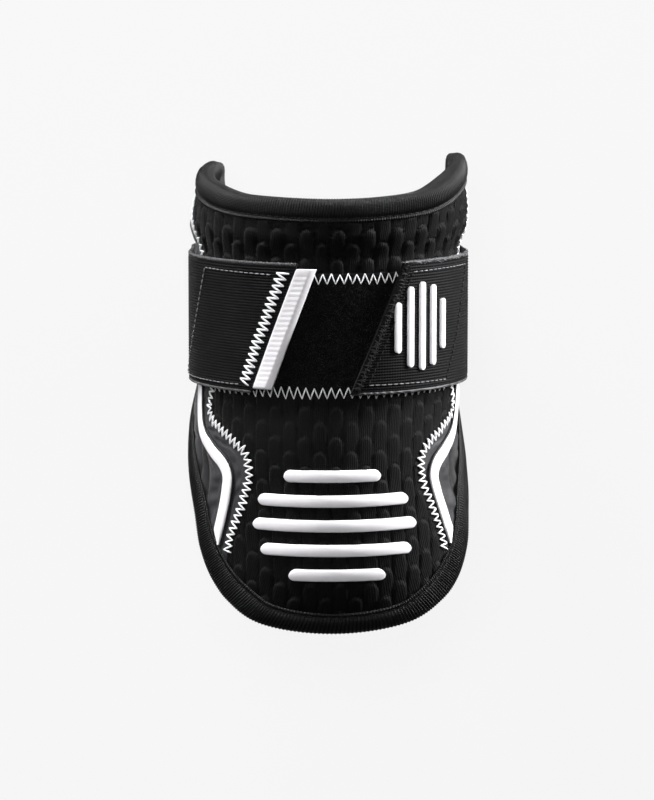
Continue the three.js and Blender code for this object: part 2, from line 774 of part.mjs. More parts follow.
add("inner_pad", innerPad(), "lining");
add("face_cover", faceCover(), "knit");
add("edge_binding", edgeBinding(), "binding");
add("loop_panel", loopPanelWall(), "fastener");
add("strap_band", strapBand(), "webbing");
add("pull_tab", pullTab(), "rubber");
for (const side of ["left", "right"]) {
  add(`wing_cover_${side}`, wingCover(side), "wing");
  add(`wing_stripe_${side}`, wingStripe(side), "rubber");
  add(`hook_patch_${side}`, hookPatch(side), "fastener");
}
for (let i = 0; i < barCount; i += 1) {
  add(`face_bar_${i + 1}`, faceBar(i), "rubber");
  add(`strap_bar_${i + 1}`, strapBar(i), "rubber");
}

export default guard;
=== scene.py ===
# %% [markdown]
# # A baseball elbow guard
#
# A batter wears this guard on the elbow that faces the pitcher. It is a padded wall bent round the arm,
# bound along its edge with ribbed tape, and held by one elastic strap. Here it lies face up on the strap's
# back run, as it does on a bench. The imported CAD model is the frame: every piece below takes its place
# from the same sizes, in millimetres, and is turned into metres when its mesh is made.

import math

import bmesh
import bpy
import numpy as np
from mathutils import Matrix, Vector


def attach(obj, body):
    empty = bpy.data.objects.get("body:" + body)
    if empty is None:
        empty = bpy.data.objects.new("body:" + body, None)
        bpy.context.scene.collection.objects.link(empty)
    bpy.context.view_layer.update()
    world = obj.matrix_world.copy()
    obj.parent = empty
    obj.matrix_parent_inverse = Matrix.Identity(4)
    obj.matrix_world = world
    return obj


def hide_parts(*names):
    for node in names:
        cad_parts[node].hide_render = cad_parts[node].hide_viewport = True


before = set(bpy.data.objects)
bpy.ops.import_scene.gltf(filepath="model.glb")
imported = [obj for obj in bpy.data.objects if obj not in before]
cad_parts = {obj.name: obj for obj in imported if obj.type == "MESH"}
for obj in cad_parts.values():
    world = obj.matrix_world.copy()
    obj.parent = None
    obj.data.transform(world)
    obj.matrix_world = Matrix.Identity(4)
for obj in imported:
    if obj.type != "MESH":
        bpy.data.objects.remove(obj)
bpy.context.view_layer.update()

# %% [markdown]
# ## The camera
#
# The photograph looks at the face of the guard from a little above its horns and a little to its left.
# The guard here lies on its back, so the same view is a camera that looks down. Its lens is worked out
# from the scale: 2.54 picture units for each millimetre at the arm's axis, in a picture 800 units high.

# %% Camera
AXIS = 40.54  # height of the arm's axis above the floor, in mm
lift, yaw = math.radians(8.5), math.radians(2.5)
right = Vector((math.cos(yaw), 0, math.sin(yaw)))
back = Vector((-math.sin(yaw) * math.cos(lift), math.sin(lift), math.cos(yaw) * math.cos(lift)))
up = back.cross(right)
distance, SENSOR = 1.5, 36  # metres to the camera, and the height of its sensor in mm
target = Vector((0, 0, AXIS / 1000)) - right * 0.0006 - up * 0.0348
camera = bpy.data.objects.new("camera", bpy.data.cameras.new("camera"))
camera.data.sensor_fit = "VERTICAL"
camera.data.sensor_height = SENSOR
camera.data.lens = SENSOR * distance / (0.8 / 2.54)
camera.data.clip_end = 10
turned = Matrix((right, up, back)).transposed().to_4x4()
camera.matrix_world = Matrix.Translation(target + back * distance) @ turned
bpy.context.scene.collection.objects.link(camera)
bpy.context.scene.camera = camera
print("lens", round(camera.data.lens, 1), "mm")

# %% [markdown]
# ## Helpers for nodes and colours
#
# Every material and every Geometry Nodes tree is built with one function that adds a node, sets it up
# and links it. Colours are written as the sRGB hex values that a colour picker shows, and one function
# turns them into the linear values that the renderer adds up.


# %% Nodes and colours
def add(tree, kind, inputs=None, out=0, **settings):
    """Add a node, set it up, link it and give back one of its outputs."""
    node = tree.nodes.new(kind)
    for name, value in settings.items():
        setattr(node, name, value)
    for name, value in (inputs or {}).items():
        if isinstance(value, bpy.types.NodeSocket):
            tree.links.new(value, node.inputs[name])
        else:
            node.inputs[name].default_value = value
    return node.outputs[out] if node.outputs else None


def calc(tree, operation, *values):
    """The result of a Math node on sockets and numbers."""
    return add(tree, "ShaderNodeMath", dict(enumerate(values)), operation=operation)


def linear(code):
    parts = [int(code[i : i + 2], 16) / 255 for i in (1, 3, 5)]
    return tuple(p / 12.92 if p <= 0.04045 else ((p + 0.055) / 1.055) ** 2.4 for p in parts) + (1.0,)


# %% [markdown]
# ## Finishes
#
# Nearly everything here is black cloth, so what tells the pieces apart is how they are made: a jersey
# knit over foam, ribbed elastic tape, woven elastic, looped pile and cloth-faced foam rubber. Each one
# is a Principled shader with its own small relief. The patterns that follow the cloth read a UV map
# named Cloth, measured in metres along the surface, so a pitch in millimetres becomes a scale.


# %% A finish
class Finish:
    """A Principled material that is built up in layers, with sizes in mm."""

    def __init__(self, name, colour, roughness, sheen=0.0, specular=0.5, ior=1.5, cloth=False):
        self.material = bpy.data.materials.new(name)
        self.material.use_nodes = True
        self.tree = self.material.node_tree
        self.tree.nodes.clear()
        values = {"Base Color": linear(colour), "Roughness": roughness, "IOR": ior}
        values |= {"Sheen Weight": sheen, "Sheen Roughness": 0.3, "Specular IOR Level": specular}
        surface = add(self.tree, "ShaderNodeBsdfPrincipled", values)
        add(self.tree, "ShaderNodeOutputMaterial", {"Surface": surface})
        self.inputs = surface.node.inputs
        if cloth:
            self.coords = add(self.tree, "ShaderNodeUVMap", uv_map="Cloth")
        else:
            self.coords = add(self.tree, "ShaderNodeTexCoord", out="Object")
        self.bumps = {}

    def noise(self, scale, detail):
        values = {"Vector": self.coords, "Scale": scale, "Detail": detail}
        return add(self.tree, "ShaderNodeTexNoise", values)

    def bands(self, pitch, direction, distortion, detail=2.0, fineness=1.0):
        """Bands that repeat at a pitch, which a Wave Texture does at a scale of 2 pi / 20 over it."""
        values = {"Vector": self.coords, "Scale": 2 * math.pi / 20 / (pitch / 1000)}
        values |= {"Distortion": distortion, "Detail": detail, "Detail Scale": fineness}
        return add(self.tree, "ShaderNodeTexWave", values, out="Fac", bands_direction=direction)

    def mottle(self, dark, light, size, groove_shade=None, crossed=None):
        """Colour that drifts between two shades, as dye and wear make it, with painted shade in the
        grooves.
        Crossed is a pattern that lies across the grooves, such as the other yarns of a weave, and gets the
        same painted shade in bands."""
        colour = add(self.tree, "ShaderNodeValToRGB", {"Fac": self.noise(1000 / size, 5.0)})
        stops = colour.node.color_ramp.elements
        for stop, position, shade in zip(stops, (0.3, 0.7), (dark, light)):
            stop.position, stop.color = position, linear(shade)
        # Painted shade: the colour is mixed towards a near-black shade colour where the per-point shade
        # value is high.
        if groove_shade:
            shade_mask = add(self.tree, "ShaderNodeAttribute", out="Fac", attribute_name="GrooveShade")
            if crossed is not None:
                shade_mask = calc(self.tree, "MAXIMUM", shade_mask, calc(self.tree, "MULTIPLY", crossed, 0.75))
            values = {0: shade_mask, 6: colour, 7: linear(groove_shade)}
            colour = add(self.tree, "ShaderNodeMix", values, out=2, data_type="RGBA")
        self.tree.links.new(colour, self.inputs["Base Color"])

    def relief(self, height, depth):
        """A bump of a height socket, on top of the bumps before it."""
        values = {"Height": height, "Strength": 1.0, "Distance": depth / 1000}
        bump = add(self.tree, "ShaderNodeBump", values | self.bumps)
        self.tree.links.new(bump, self.inputs["Normal"])
        self.bumps = {"Normal": bump}


# %% Polyester jersey on the face: fine upright wales, drawn 0.8 mm apart
jersey = Finish("polyester_jersey", "#0c0c0d", 0.6, sheen=0.08, specular=0.08, cloth=True)
# Painted shade: near black in the grooves between capsules.
jersey.mottle("#060606", "#0c0c0d", 9, groove_shade="#010101")
jersey.relief(jersey.noise(2600.0, 3.0), 0.16)
jersey.relief(jersey.bands(0.8, "X", 2.2, fineness=1.4), 0.085)

# %% Neoprene with a smooth nylon face on the wings: a dark grey with a soft sheen
neoprene = Finish("nylon_faced_neoprene", "#252527", 0.6, sheen=0.2, specular=0.2, cloth=True)
# Painted shade: near black in the pressed grooves.
neoprene.mottle("#2a2a2c", "#373739", 14, groove_shade="#060607")
neoprene.relief(neoprene.noise(2200.0, 4.0), 0.14)

# %% Brushed nylon lining: short soft nap, so it is dull and mottled
lining = Finish("brushed_nylon_lining", "#141416", 0.95, sheen=0.15, specular=0.1)
lining.mottle("#101011", "#1a1a1c", 6)
lining.relief(lining.noise(1500.0, 6.0), 0.25)

# %% Ribbed binding tape: polyester with a slight gloss on its ribs, which are in the mesh
tape = Finish("ribbed_polyester_tape", "#121213", 0.45, sheen=0.12, specular=0.2, cloth=True)
# Painted shade: near black in the hollows between ribs.
tape.mottle("#121213", "#1e1e1f", 11, groove_shade="#010101")
tape.relief(tape.bands(0.55, "Y", 1.0, detail=1.0), 0.06)

# %% Woven elastic: its ribs are in the mesh, and the cover yarns cross them 1.1 mm apart
elastic = Finish("woven_elastic", "#161617", 0.55, sheen=0.12, specular=0.05, cloth=True)
yarns = elastic.bands(1.1, "X", 0.8)
# Painted shade: near black in the hollows between ribs and in bands along the cover yarns.
elastic.mottle("#18181a", "#262627", 12, groove_shade="#010101", crossed=yarns)
elastic.relief(yarns, 0.05)
elastic.relief(elastic.noise(2500.0, 3.0), 0.1)

# %% Selvedge: the elastic's edge, a little paler than the elastic, with slanting turns of yarn 0.9 mm apart
selvedge = Finish("pale_elastic_selvedge", "#333335", 0.6, sheen=0.2)
selvedge.mottle("#171718", "#48484b", 2.5)
selvedge.relief(selvedge.bands(0.9, "DIAGONAL", 1.5), 0.2)

# %% Loop pile: unbroken nylon loops that swallow light
pile = Finish("nylon_loop_pile", "#080809", 0.85, sheen=0.08, specular=0.06)
pile.mottle("#060606", "#101011", 3)
pile.relief(pile.noise(1300.0, 8.0), 0.5)

# %% Moulded silicone rubber: slightly warm white, satin, with a faint orange peel from its mould
silicone = Finish("moulded_silicone", "#e4e2e6", 0.42, specular=0.45, ior=1.41)
silicone.mottle("#dfdde1", "#e9e7ea", 8)
silicone.relief(silicone.noise(900.0, 2.0), 0.03)


# %% Sewing thread: two plies of spun polyester, so a stitch has a slanting twist
def thread(name, colour, dark, specular=0.5):
    made = Finish(name, colour, 0.6, sheen=0.1, specular=specular)
    made.mottle(dark, colour, 1.2)
    made.relief(made.bands(0.7, "DIAGONAL", 1.5), 0.08)
    return made


white_thread = thread("white_polyester_thread", "#ededee", "#d6d6d9")
grey_thread = thread("grey_polyester_thread", "#8a8a8d", "#6c6c6f", 0.3)
black_thread = thread("black_polyester_thread", "#151516", "#0a0a0b", 0.2)
print("materials", len(bpy.data.materials))

# %% [markdown]
# ## Floor and light
#
# The photograph was taken against plain pale paper with hardly a shadow. Soft light comes low from both
# sides, most of it from the right, from above the horns, and least from the front, so the face stays
# nearly black while the flanks and the tops of the capsules turn grey. The paper glows, as on a light
# table, so that the shadows stay faint, but it lights nothing itself. It curves up all round, as a studio
# sweep does, so that the views from the side have no horizon.

# %% Floor
FLAT, CURL, SIDES = 2.2, 1.2, 96  # radius of the flat paper and of its curl in metres, and its facets
bpy.context.scene.view_settings.view_transform = "Standard"
paper = Finish("backlit_white_paper", "#484848", 0.95, specular=0.0)
paper.inputs["Emission Color"].default_value = linear("#ffffff")
paper.inputs["Emission Strength"].default_value = 0.872
curl = [(FLAT + CURL * math.sin(a), CURL - CURL * math.cos(a)) for a in np.linspace(0.13, 1.57, 12)]
around = np.linspace(0, 2 * math.pi, SIDES, endpoint=False)
points = [(r * math.cos(a), r * math.sin(a), z) for r, z in [(FLAT, 0.0)] + curl for a in around]
faces = [tuple(range(SIDES))]
for ring in range(len(curl)):
    for i in range(SIDES):
        start, after = ring * SIDES + i, ring * SIDES + (i + 1) % SIDES
        faces.append((start, start + SIDES, after + SIDES, after))
mesh = bpy.data.meshes.new("floor")
mesh.from_pydata(points, [], faces)
mesh.materials.append(paper.material)
mesh.polygons.foreach_set("use_smooth", [False] + [True] * (len(faces) - 1))
floor = bpy.data.objects.new("floor", mesh)
bpy.context.scene.collection.objects.link(floor)
floor.visible_diffuse = floor.visible_glossy = False


# %% Lights
def softbox(name, spot, size, power):
    lamp = bpy.data.lights.new(name, "AREA")
    lamp.shape = "RECTANGLE"
    lamp.size, lamp.size_y = size
    lamp.energy = power
    light = bpy.data.objects.new(name, lamp)
    light.location = spot
    light.visible_camera = False
    light.rotation_euler = (Vector((0, -0.03, 0.05)) - Vector(spot)).to_track_quat("-Z", "Y").to_euler()
    bpy.context.scene.collection.objects.link(light)


softbox("light_left", (-1.4, 0.75, 0.0), (1.2, 0.2), 40)
softbox("light_right", (1.4, 0.75, 0.0), (1.2, 0.2), 165)
softbox("light_top", (-0.6, 1.5, 0.3), (0.8, 0.4), 44)
softbox("light_front", (-0.3, 0.6, 1.8), (0.9, 0.6), 18)
world = bpy.data.worlds.new("studio")
world.use_nodes = True
world.node_tree.nodes["Background"].inputs["Color"].default_value = linear("#ffffff")
world.node_tree.nodes["Background"].inputs["Strength"].default_value = 0.04
bpy.context.scene.world = world

# %% [markdown]
# ## The form of the wall
#
# Every piece of the guard follows one curved wall. A place on it has three numbers: the turn round the
# arm from the middle of the face, the height y along the arm, and the height h above the cover's outer
# face. The sections below are the ones that the CAD model was made from, so a piece that is drawn with
# them lands on its CAD node. Only the horns are finer here: the foam thins towards their tips.

# %% Sizes of the wall, in mm
SHELL = 54.5
SEAT = SHELL - 2.8  # the wall's radius under the strap
WRAP = math.radians(134)
DOWN, UP = 118.0, 48.0
HORNS = {"left": (56.1, math.radians(113)), "right": (60.2, math.radians(98))}
COVER, PAD, PAD_GAP, GAP, FACET = 3.0, 3.4, 0.9, 0.3, 0.6
PATCH, BINDING, SEAM_HALF = 0.8, 1.1, 0.2  # thickness of a fastener patch and of the tape, half a seam
WALL = COVER + PAD_GAP + PAD
STRAP_WIDTH, STRAP = 50.0, 1.6


def curve_through(ys, values):
    """A smooth curve through rows of values that never overshoots them."""
    ys, values = np.array(ys, float), np.array(values, float)
    slopes = np.diff(values) / np.diff(ys)
    tangents = np.concatenate([slopes[:1], np.zeros(len(slopes) - 1), slopes[-1:]])
    for i in range(1, len(slopes)):
        a, b = slopes[i - 1], slopes[i]
        tangents[i] = 0 if a * b <= 0 else 2 * a * b / (a + b)

    def at(y):
        y = np.asarray(y, float)
        inside = np.clip(y, ys[0], ys[-1])
        i = np.clip(np.searchsorted(ys, inside, side="right") - 1, 0, len(ys) - 2)
        span = ys[i + 1] - ys[i]
        t = (inside - ys[i]) / span
        out = values[i] + (values[i + 1] - values[i]) * t * t * (3 - 2 * t)
        out += t * (1 - t) ** 2 * span * tangents[i] - t * t * (1 - t) * span * tangents[i + 1]
        return out + (y - inside) * np.where(y < inside, tangents[0], tangents[-1])

    return at


# %% Sections: height, radius, front and sway, as shares of the sizes
below = [
    (-1, 1.5, 0.875, 0), (-0.95, 1.43, 0.925, 0.01), (-0.87, 1.28, 0.968, 0.02),
    (-0.757, 1.138, 0.99, 0.016), (-0.628, 1.05, 0.99, 0.004), (-0.5, 0.984, 0.986, -0.014),
    (-0.39, 0.957, 0.98, -0.02),
]  # fmt: skip
above = [(0.75, 0.992, 0.996, 0), (0.87, 0.985, 0.995, 0.01), (1, 0.962, 0.98, 0.022)]
above += [(1.28, 0.913, 0.94, 0.036)]
edge = STRAP_WIDTH / 2 + 1
sections = [(at * DOWN, r * SHELL, f * SHELL, s * SHELL) for at, r, f, s in below]
sections += [(y, SEAT, SEAT, -0.008 * SHELL) for y in (-edge, edge)]
sections += [(at * UP, r * SHELL, f * SHELL, s * SHELL) for at, r, f, s in above]
rows = list(zip(*sections))
radius_at, front_at, sway_at = (curve_through(rows[0], rows[i]) for i in (1, 2, 3))
THINNED = 0.45  # share of the wall's thickness that is gone at the tips of the horns


def smooth_step(x):
    x = np.clip(x, 0, 1)
    return x * x * (3 - 2 * x)


def unit(vectors):
    return vectors / np.linalg.norm(vectors, axis=-1, keepdims=True)


def on_cover(turn, y):
    radius = radius_at(y)
    middle = AXIS + front_at(y) - radius
    return np.stack([sway_at(y) + radius * np.sin(turn), y + 0 * turn, middle + radius * np.cos(turn)], -1)


def place(turn, y, h):
    """Points at height h above the cover's outer face."""
    turn, y = np.broadcast_arrays(np.asarray(turn, float), np.asarray(y, float))
    across = np.stack([np.cos(turn), 0 * turn, -np.sin(turn)], -1)
    along = on_cover(turn, y + 0.01) - on_cover(turn, y - 0.01)
    thinner = THINNED * smooth_step((np.abs(turn) - 0.9) / 0.5) * smooth_step((y - 33) / 22)
    h = np.where(np.asarray(h) < 0, h * (1 - thinner), h)
    return on_cover(turn, y) + unit(np.cross(across, along)) * h[..., None]


def normal_at(turn, y):
    return place(turn, y, 1.0) - place(turn, y, 0.0)


print("face of the guard", place(0, 0, 0).round(2))

# %% [markdown]
# ## Lines on the wall
#
# The wall's outline and its seams are smooth lines through a few points on its flat pattern. They are
# centripetal Catmull-Rom curves, which pass through every point and don't loop at close ones. Next to the
# CAD model's lines, the corners behind the horns are rounder and the seams end a few millimetres lower.


# %% Smooth lines
def spline(points, closed=False):
    """A curve through flat points (distance round, height), for parameters from 0 to 1."""
    points = np.array(points, float)
    n = len(points)
    if closed:
        ring = np.vstack([points[-1:], points, points[:2]])
    else:
        ring = np.vstack([2 * points[0] - points[1], points, 2 * points[-1] - points[-2]])
    steps = n if closed else n - 1

    def at(t):
        t = np.atleast_1d(np.asarray(t, float))
        t = (t % 1.0 if closed else t) * steps
        i = np.minimum(np.floor(t).astype(int), steps - 1)
        w = (t - i)[:, None]
        a, b, c, d = (ring[i + k] for k in range(4))
        gaps = [np.maximum(np.linalg.norm(q - p, axis=1), 1e-8) ** 0.5 for p, q in ((a, b), (b, c), (c, d))]
        g0, g1, g2 = (g[:, None] for g in gaps)
        start = ((b - a) / g0 - (c - a) / (g0 + g1) + (c - b) / g1) * g1
        end = ((c - b) / g1 - (d - b) / (g1 + g2) + (d - c) / g2) * g1
        cube = 2 * b - 2 * c + start + end
        square = -3 * b + 3 * c - 2 * start - end
        return ((cube * w + square) * w + start) * w + b

    return at


def flat(s, y):
    """Flat points from distances round and heights, each a number or an array."""
    return np.stack(np.broadcast_arrays(s, y), -1)


# %% Lengths, directions and places beside a line
def runs_of(points):
    """The length along a line up to each of its points."""
    return np.concatenate([[0], np.cumsum(np.linalg.norm(np.diff(points, axis=0), axis=1))])


def evenly(curve, start, stop, count):
    """Flat points at even distances along a curve."""
    fine = curve(np.linspace(start, stop, 3000))
    lengths = runs_of(fine)
    wanted = np.linspace(0, lengths[-1], count + 1)
    return flat(*(np.interp(wanted, lengths, fine[:, k]) for k in (0, 1)))


def headings(line, closed=False):
    """Unit directions of a line of flat points."""
    line = np.asarray(line, float)
    if closed:
        step = np.roll(line, -1, 0) - np.roll(line, 1, 0)
    else:
        step = np.gradient(line, axis=0)
    return unit(step * flat(radius_at(line[:, 1]) / SHELL, 1.0))


def beside(line, direction, right_mm):
    """Flat points moved to the right of their direction."""
    shift = flat(direction[:, 1], -direction[:, 0]) * np.asarray(right_mm, float)[..., None]
    return line + shift * flat(SHELL / radius_at(line[:, 1]), 1.0)


def lay(line, h):
    """Flat points as points in space."""
    return place(line[..., 0] / SHELL, line[..., 1], h)


def from_rim_of(line):
    """Distances of flat points from the wall's outline."""
    return np.linalg.norm(line[:, None] - rim[None], axis=-1).min(-1)


# %% Outline of the wall
lower_edge = [
    (0.149, 0.972), (0.246, 0.907), (0.296, 0.868), (0.418, 0.744), (0.498, 0.623),
    (0.597, 0.516), (0.716, 0.396), (0.843, 0.258), (0.948, 0.112),
]  # fmt: skip
rear_edge = [(0.08, 0.2), (0.31, 0.46), (0.58, 0.69), (0.83, 0.88)]
top_edge = [(0.9, 0.95), (0.78, 0.8), (0.65, 0.55), (0.55, 0.34), (0.42, 0.14), (0.22, 0.04)]
REARMOST = 0.167 * UP
SIGNS = {"left": -1, "right": 1}


def half_outline(side):
    tip, turn = HORNS[side]
    points = [(a * WRAP, -d * DOWN) for a, d in lower_edge] + [(WRAP, REARMOST)]
    points += [(WRAP + (turn - WRAP) * f, REARMOST + (tip - REARMOST) * u) for f, u in rear_edge]
    points += [(turn, tip)] + [(a * turn, UP + (tip - UP) * u) for a, u in top_edge]
    return [(a * SHELL, y) for a, y in points]


halves = {side: half_outline(side) for side in HORNS}
ring_points = [(0, -DOWN)] + halves["right"] + [(0, UP)] + [(-s, y) for s, y in halves["left"][::-1]]
outline = spline(ring_points, closed=True)
rim = outline(np.linspace(0, 1, 900))
total = runs_of(outline(np.linspace(0, 1, 3000)))[-1]
FOOT, CORNER, TIP = 2, 5, len(lower_edge) + len(rear_edge) + 1
right_at = lambda row: (row + 1) / len(ring_points)
left_at = lambda row: 1 - right_at(row)
print("outline", round(total), "mm round")

# %% Lines on the face and the wings: shares of the wrap, and of the heights below and above the strap
seam_rows = [
    (0.337, -0.712), (0.308, -0.592), (0.288, -0.485), (0.31, -0.415), (0.362, -0.382),
    (0.427, -0.348), (0.483, -0.32), (0.502, -0.289), (0.489, -0.25), (0.484, -0.215),
    (0.522, 0), (0.56, 0.52), (0.6, 0.7),
]  # fmt: skip
stripe_rows = [
    (0.557, -0.2), (0.55, -0.3), (0.52, -0.372), (0.444, -0.425), (0.38, -0.465),
    (0.357, -0.5), (0.355, -0.55), (0.361, -0.641), (0.366, -0.7), (0.368, -0.76),
]  # fmt: skip
groove_rows = [
    [(0.5, -0.44), (0.478, -0.5), (0.455, -0.6)],
    [(0.58, -0.37), (0.545, -0.44), (0.51, -0.53)],
]


def flat_rows(rows, sign=1):
    return [(sign * a * WRAP * SHELL, at * (DOWN if at < 0 else UP)) for a, at in rows]


def seam_line(side, count):
    """The seam between the face and a wing. The right one sways out below, as it was sewn."""
    tip, turn = HORNS[side]
    sway = lambda at: 3.1 * smooth_step((at + 0.74) / 0.22) - 1 if side == "right" else -2.1
    rows = [(s + sway(at), y) for (s, y), (_, at) in zip(flat_rows(seam_rows), seam_rows)]
    before = (0.93 * turn * SHELL, UP + (tip - UP) * 0.35 - GAP)
    line = spline([halves[side][FOOT]] + rows + [before, (turn * SHELL, tip)])
    return evenly(line, 0, 1, count) * (SIGNS[side], 1)


def stripe_line(side, count):
    """The middle of the rubber stripe on a wing, from the strap down to the binding."""
    return spline(flat_rows(stripe_rows, SIGNS[side]))(np.linspace(0, 1, count))


# %% [markdown]
# ## Padded sheets
#
# The covers, the foam and the patches are sheets with a thickness. Each one is a grid between four edges,
# blended as a Coons patch, with one fine face for the relief and a coarse one that nobody sees.


# %% Grids
def patch(bottom, top, left, right_edge):
    u = np.linspace(0, 1, len(bottom))[None, :, None]
    v = np.linspace(0, 1, len(left))[:, None, None]
    rows = bottom[None] * (1 - v) + top[None] * v
    columns = left[:, None] * (1 - u) + right_edge[:, None] * u
    corners = (bottom[0] * (1 - u) + bottom[-1] * u) * (1 - v) + (top[0] * (1 - u) + top[-1] * u) * v
    return rows + columns - corners


def quads(index):
    faces = np.stack([index[:-1, :-1], index[:-1, 1:], index[1:, 1:], index[1:, :-1]], -1)
    return faces.reshape(-1, 4).tolist()


# %% Mesh objects
def linked(name, points, edges=(), faces=()):
    """An object in metres from points in mm."""
    mesh = bpy.data.meshes.new(name)
    mesh.from_pydata((np.asarray(points).reshape(-1, 3) / 1000).tolist(), edges, faces)
    made = bpy.data.objects.new(name, mesh)
    bpy.context.scene.collection.objects.link(made)
    return made


def piece(name, points, faces, finish, uv=None, merge=False, sharp=50, notes=None):
    """A dressed mesh object. Notes are values that it keeps for each point."""
    made = linked(name, points, [], faces)
    mesh = made.data
    if uv is not None:
        layer = mesh.uv_layers.new(name="Cloth")
        corners = np.empty(len(mesh.loops), dtype=np.int32)
        mesh.loops.foreach_get("vertex_index", corners)
        layer.data.foreach_set("uv", (np.asarray(uv)[corners] / 1000).astype(np.float32).ravel())
    for key, values in (notes or {}).items():
        layer = mesh.attributes.new(key, "FLOAT", "POINT")
        layer.data.foreach_set("value", np.asarray(values, dtype=np.float32).ravel())
    if merge:
        work = bmesh.new()
        work.from_mesh(mesh)
        bmesh.ops.remove_doubles(work, verts=work.verts, dist=2e-6)
        bmesh.ops.dissolve_degenerate(work, edges=work.edges, dist=1e-6)
        work.to_mesh(mesh)
        work.free()
    mesh.polygons.foreach_set("use_smooth", np.ones(len(mesh.polygons), dtype=bool))
    mesh.set_sharp_from_angle(angle=math.radians(sharp))
    mesh.materials.append(finish.material)
    print(name, len(mesh.polygons), "faces")
    return made


# %% A thick sheet
def sheet_mesh(name, grid, top, low, finish, step=5, merge=False, shade_mask=None):
    """A thick sheet over a grid of flat points, from height low to heights top."""
    count_y, count_x = grid.shape[:2]
    index = np.arange(count_y * count_x).reshape(count_y, count_x)
    keep = np.zeros(index.shape, bool)
    keep[::step, ::step] = True
    keep[[0, -1], :] = keep[:, [0, -1]] = True
    under = np.full(index.shape, -1)
    under[keep] = index.size + np.arange(keep.sum())
    points = np.vstack([lay(grid, top).reshape(-1, 3), lay(grid[keep], low)])
    uv = np.vstack([grid.reshape(-1, 2), grid[keep]])
    faces = quads(index)
    for strip, low_strip in (
        (index[0, ::-1], under[0, ::-1]),
        (index[-1], under[-1]),
        (index[:, 0], under[:, 0]),
        (index[::-1, -1], under[::-1, -1]),
    ):
        faces += np.stack([strip[:-1], strip[1:], low_strip[1:], low_strip[:-1]], -1).tolist()
    for j in range(0, count_y - 1, step):
        for i in range(0, count_x - 1, step):
            k, m = j + step, i + step
            sides = [
                under[j, i : m + 1] if j == 0 else under[j, [i, m]],
                under[j : k + 1, m] if m == count_x - 1 else under[[j, k], m],
                under[k, i : m + 1][::-1] if k == count_y - 1 else under[k, [m, i]],
                under[j : k + 1, i][::-1] if i == 0 else under[[k, j], i],
            ]
            loop = [int(v) for side in sides for v in side[:-1]]
            faces.append(loop[::-1])
    # The painted shade of the top face, kept for each point; the coarse back gets none.
    if shade_mask is None:
        shade_mask = np.zeros(index.shape)
    notes = {"GrooveShade": np.concatenate([shade_mask.ravel(), np.zeros(keep.sum())])}
    return piece(name, points, faces, finish, uv, merge, notes=notes)


# %% Distances from a grid's edges, and soft dents
def edge_distances(grid):
    """Distances in mm of each grid point from the sides and from the bottom and top edges."""
    points = lay(grid, np.zeros(grid.shape[:2]))
    out = []
    for axis in (1, 0):
        step = np.linalg.norm(np.diff(points, axis=axis), axis=-1)
        pad = [(0, 0), (0, 0)]
        pad[axis] = (1, 0)
        run = np.cumsum(np.pad(step, pad), axis=axis)
        total = run[:, -1:] if axis == 1 else run[-1:, :]
        out.append(np.minimum(run, total - run))
    return out


def soft_noise(x, y, size, seed):
    """Slow dents, as a few seeded waves."""
    random = np.random.default_rng(seed)
    total = 0 * x
    for _ in range(7):
        angle, phase = random.uniform(0, 2 * math.pi, 2)
        wave = 2 * math.pi / size * random.uniform(0.6, 1.6)
        total = total + np.sin(wave * (x * math.cos(angle) + y * math.sin(angle)) + phase)
    return total / 7


# %% [markdown]
# ## Swelling cloth
#
# The neoprene of the wings and the lining of the pad are sewn down in some places and swell between
# them. Blender's Cloth does that: a sheet with those places pinned is cut a little larger than its
# place, so that it ripples, and a light pressure from the foam pushes it out. Only the heights that come
# out of it are kept, and they are held under a limit, because the foam behind holds the cloth back.


# %% Cloth simulation
def swell(grid, h, sewn, push, spare, limit, frames=14):
    """Heights in mm that a sheet gains at each grid point, pinned where sewn is true."""
    start = lay(grid, h)
    normal = normal_at(grid[..., 0] / SHELL, grid[..., 1])
    cloth = linked("swelling", start, [], quads(np.arange(h.size).reshape(h.shape)))
    pins = cloth.vertex_groups.new(name="sewn")
    pins.add([int(i) for i in np.nonzero(sewn.ravel())[0]], 1.0, "REPLACE")
    modifier = cloth.modifiers.new("cloth", "CLOTH")
    settings = modifier.settings
    stiffness = dict.fromkeys(("tension_stiffness", "compression_stiffness", "shear_stiffness"), 25)
    values = dict(quality=7, mass=0.3, bending_stiffness=2.0, air_damping=4, vertex_group_mass="sewn")
    values |= dict(use_pressure=True, uniform_pressure_force=push, shrink_min=-spare)
    for key, value in (stiffness | values).items():
        setattr(settings, key, value)
    settings.effector_weights.gravity = 0
    modifier.point_cache.frame_end = frames
    for frame_number in range(1, frames + 1):
        bpy.context.scene.frame_set(frame_number)
    evaluated = cloth.evaluated_get(bpy.context.evaluated_depsgraph_get())
    moved = np.empty(h.size * 3, dtype=np.float32)
    evaluated.data.vertices.foreach_get("co", moved)
    gained = ((moved.reshape(start.shape) * 1000 - start) * normal).sum(-1)
    bpy.data.objects.remove(cloth)
    bpy.context.scene.frame_set(1)
    print("swelled by", gained.min().round(2), "to", gained.max().round(2), "mm")
    return limit * np.tanh(gained / limit)


def refined(coarse, shape):
    """A coarse grid of heights, smoothed up to a finer grid's shape."""
    fine = coarse
    for axis in (0, 1):
        spots = np.linspace(0, fine.shape[axis] - 1, shape[axis])
        low = np.clip(np.floor(spots).astype(int), 0, fine.shape[axis] - 2)
        part = smooth_step(spots - low)
        part = part[:, None] if axis == 0 else part[None]
        fine = np.take(fine, low, axis) * (1 - part) + np.take(fine, low + 1, axis) * part
    return fine


# %% [markdown]
# ## The face cover
#
# The cover is a jersey pressed over rows of small foam capsules. A capsule has a round top that stands
# over the foot of the one above, and neighbouring columns are half a capsule apart. The relief is real
# geometry: a height for each point of a fine grid. The capsules are flattened under the binding and at
# the seams, where the sewing pulls them down.

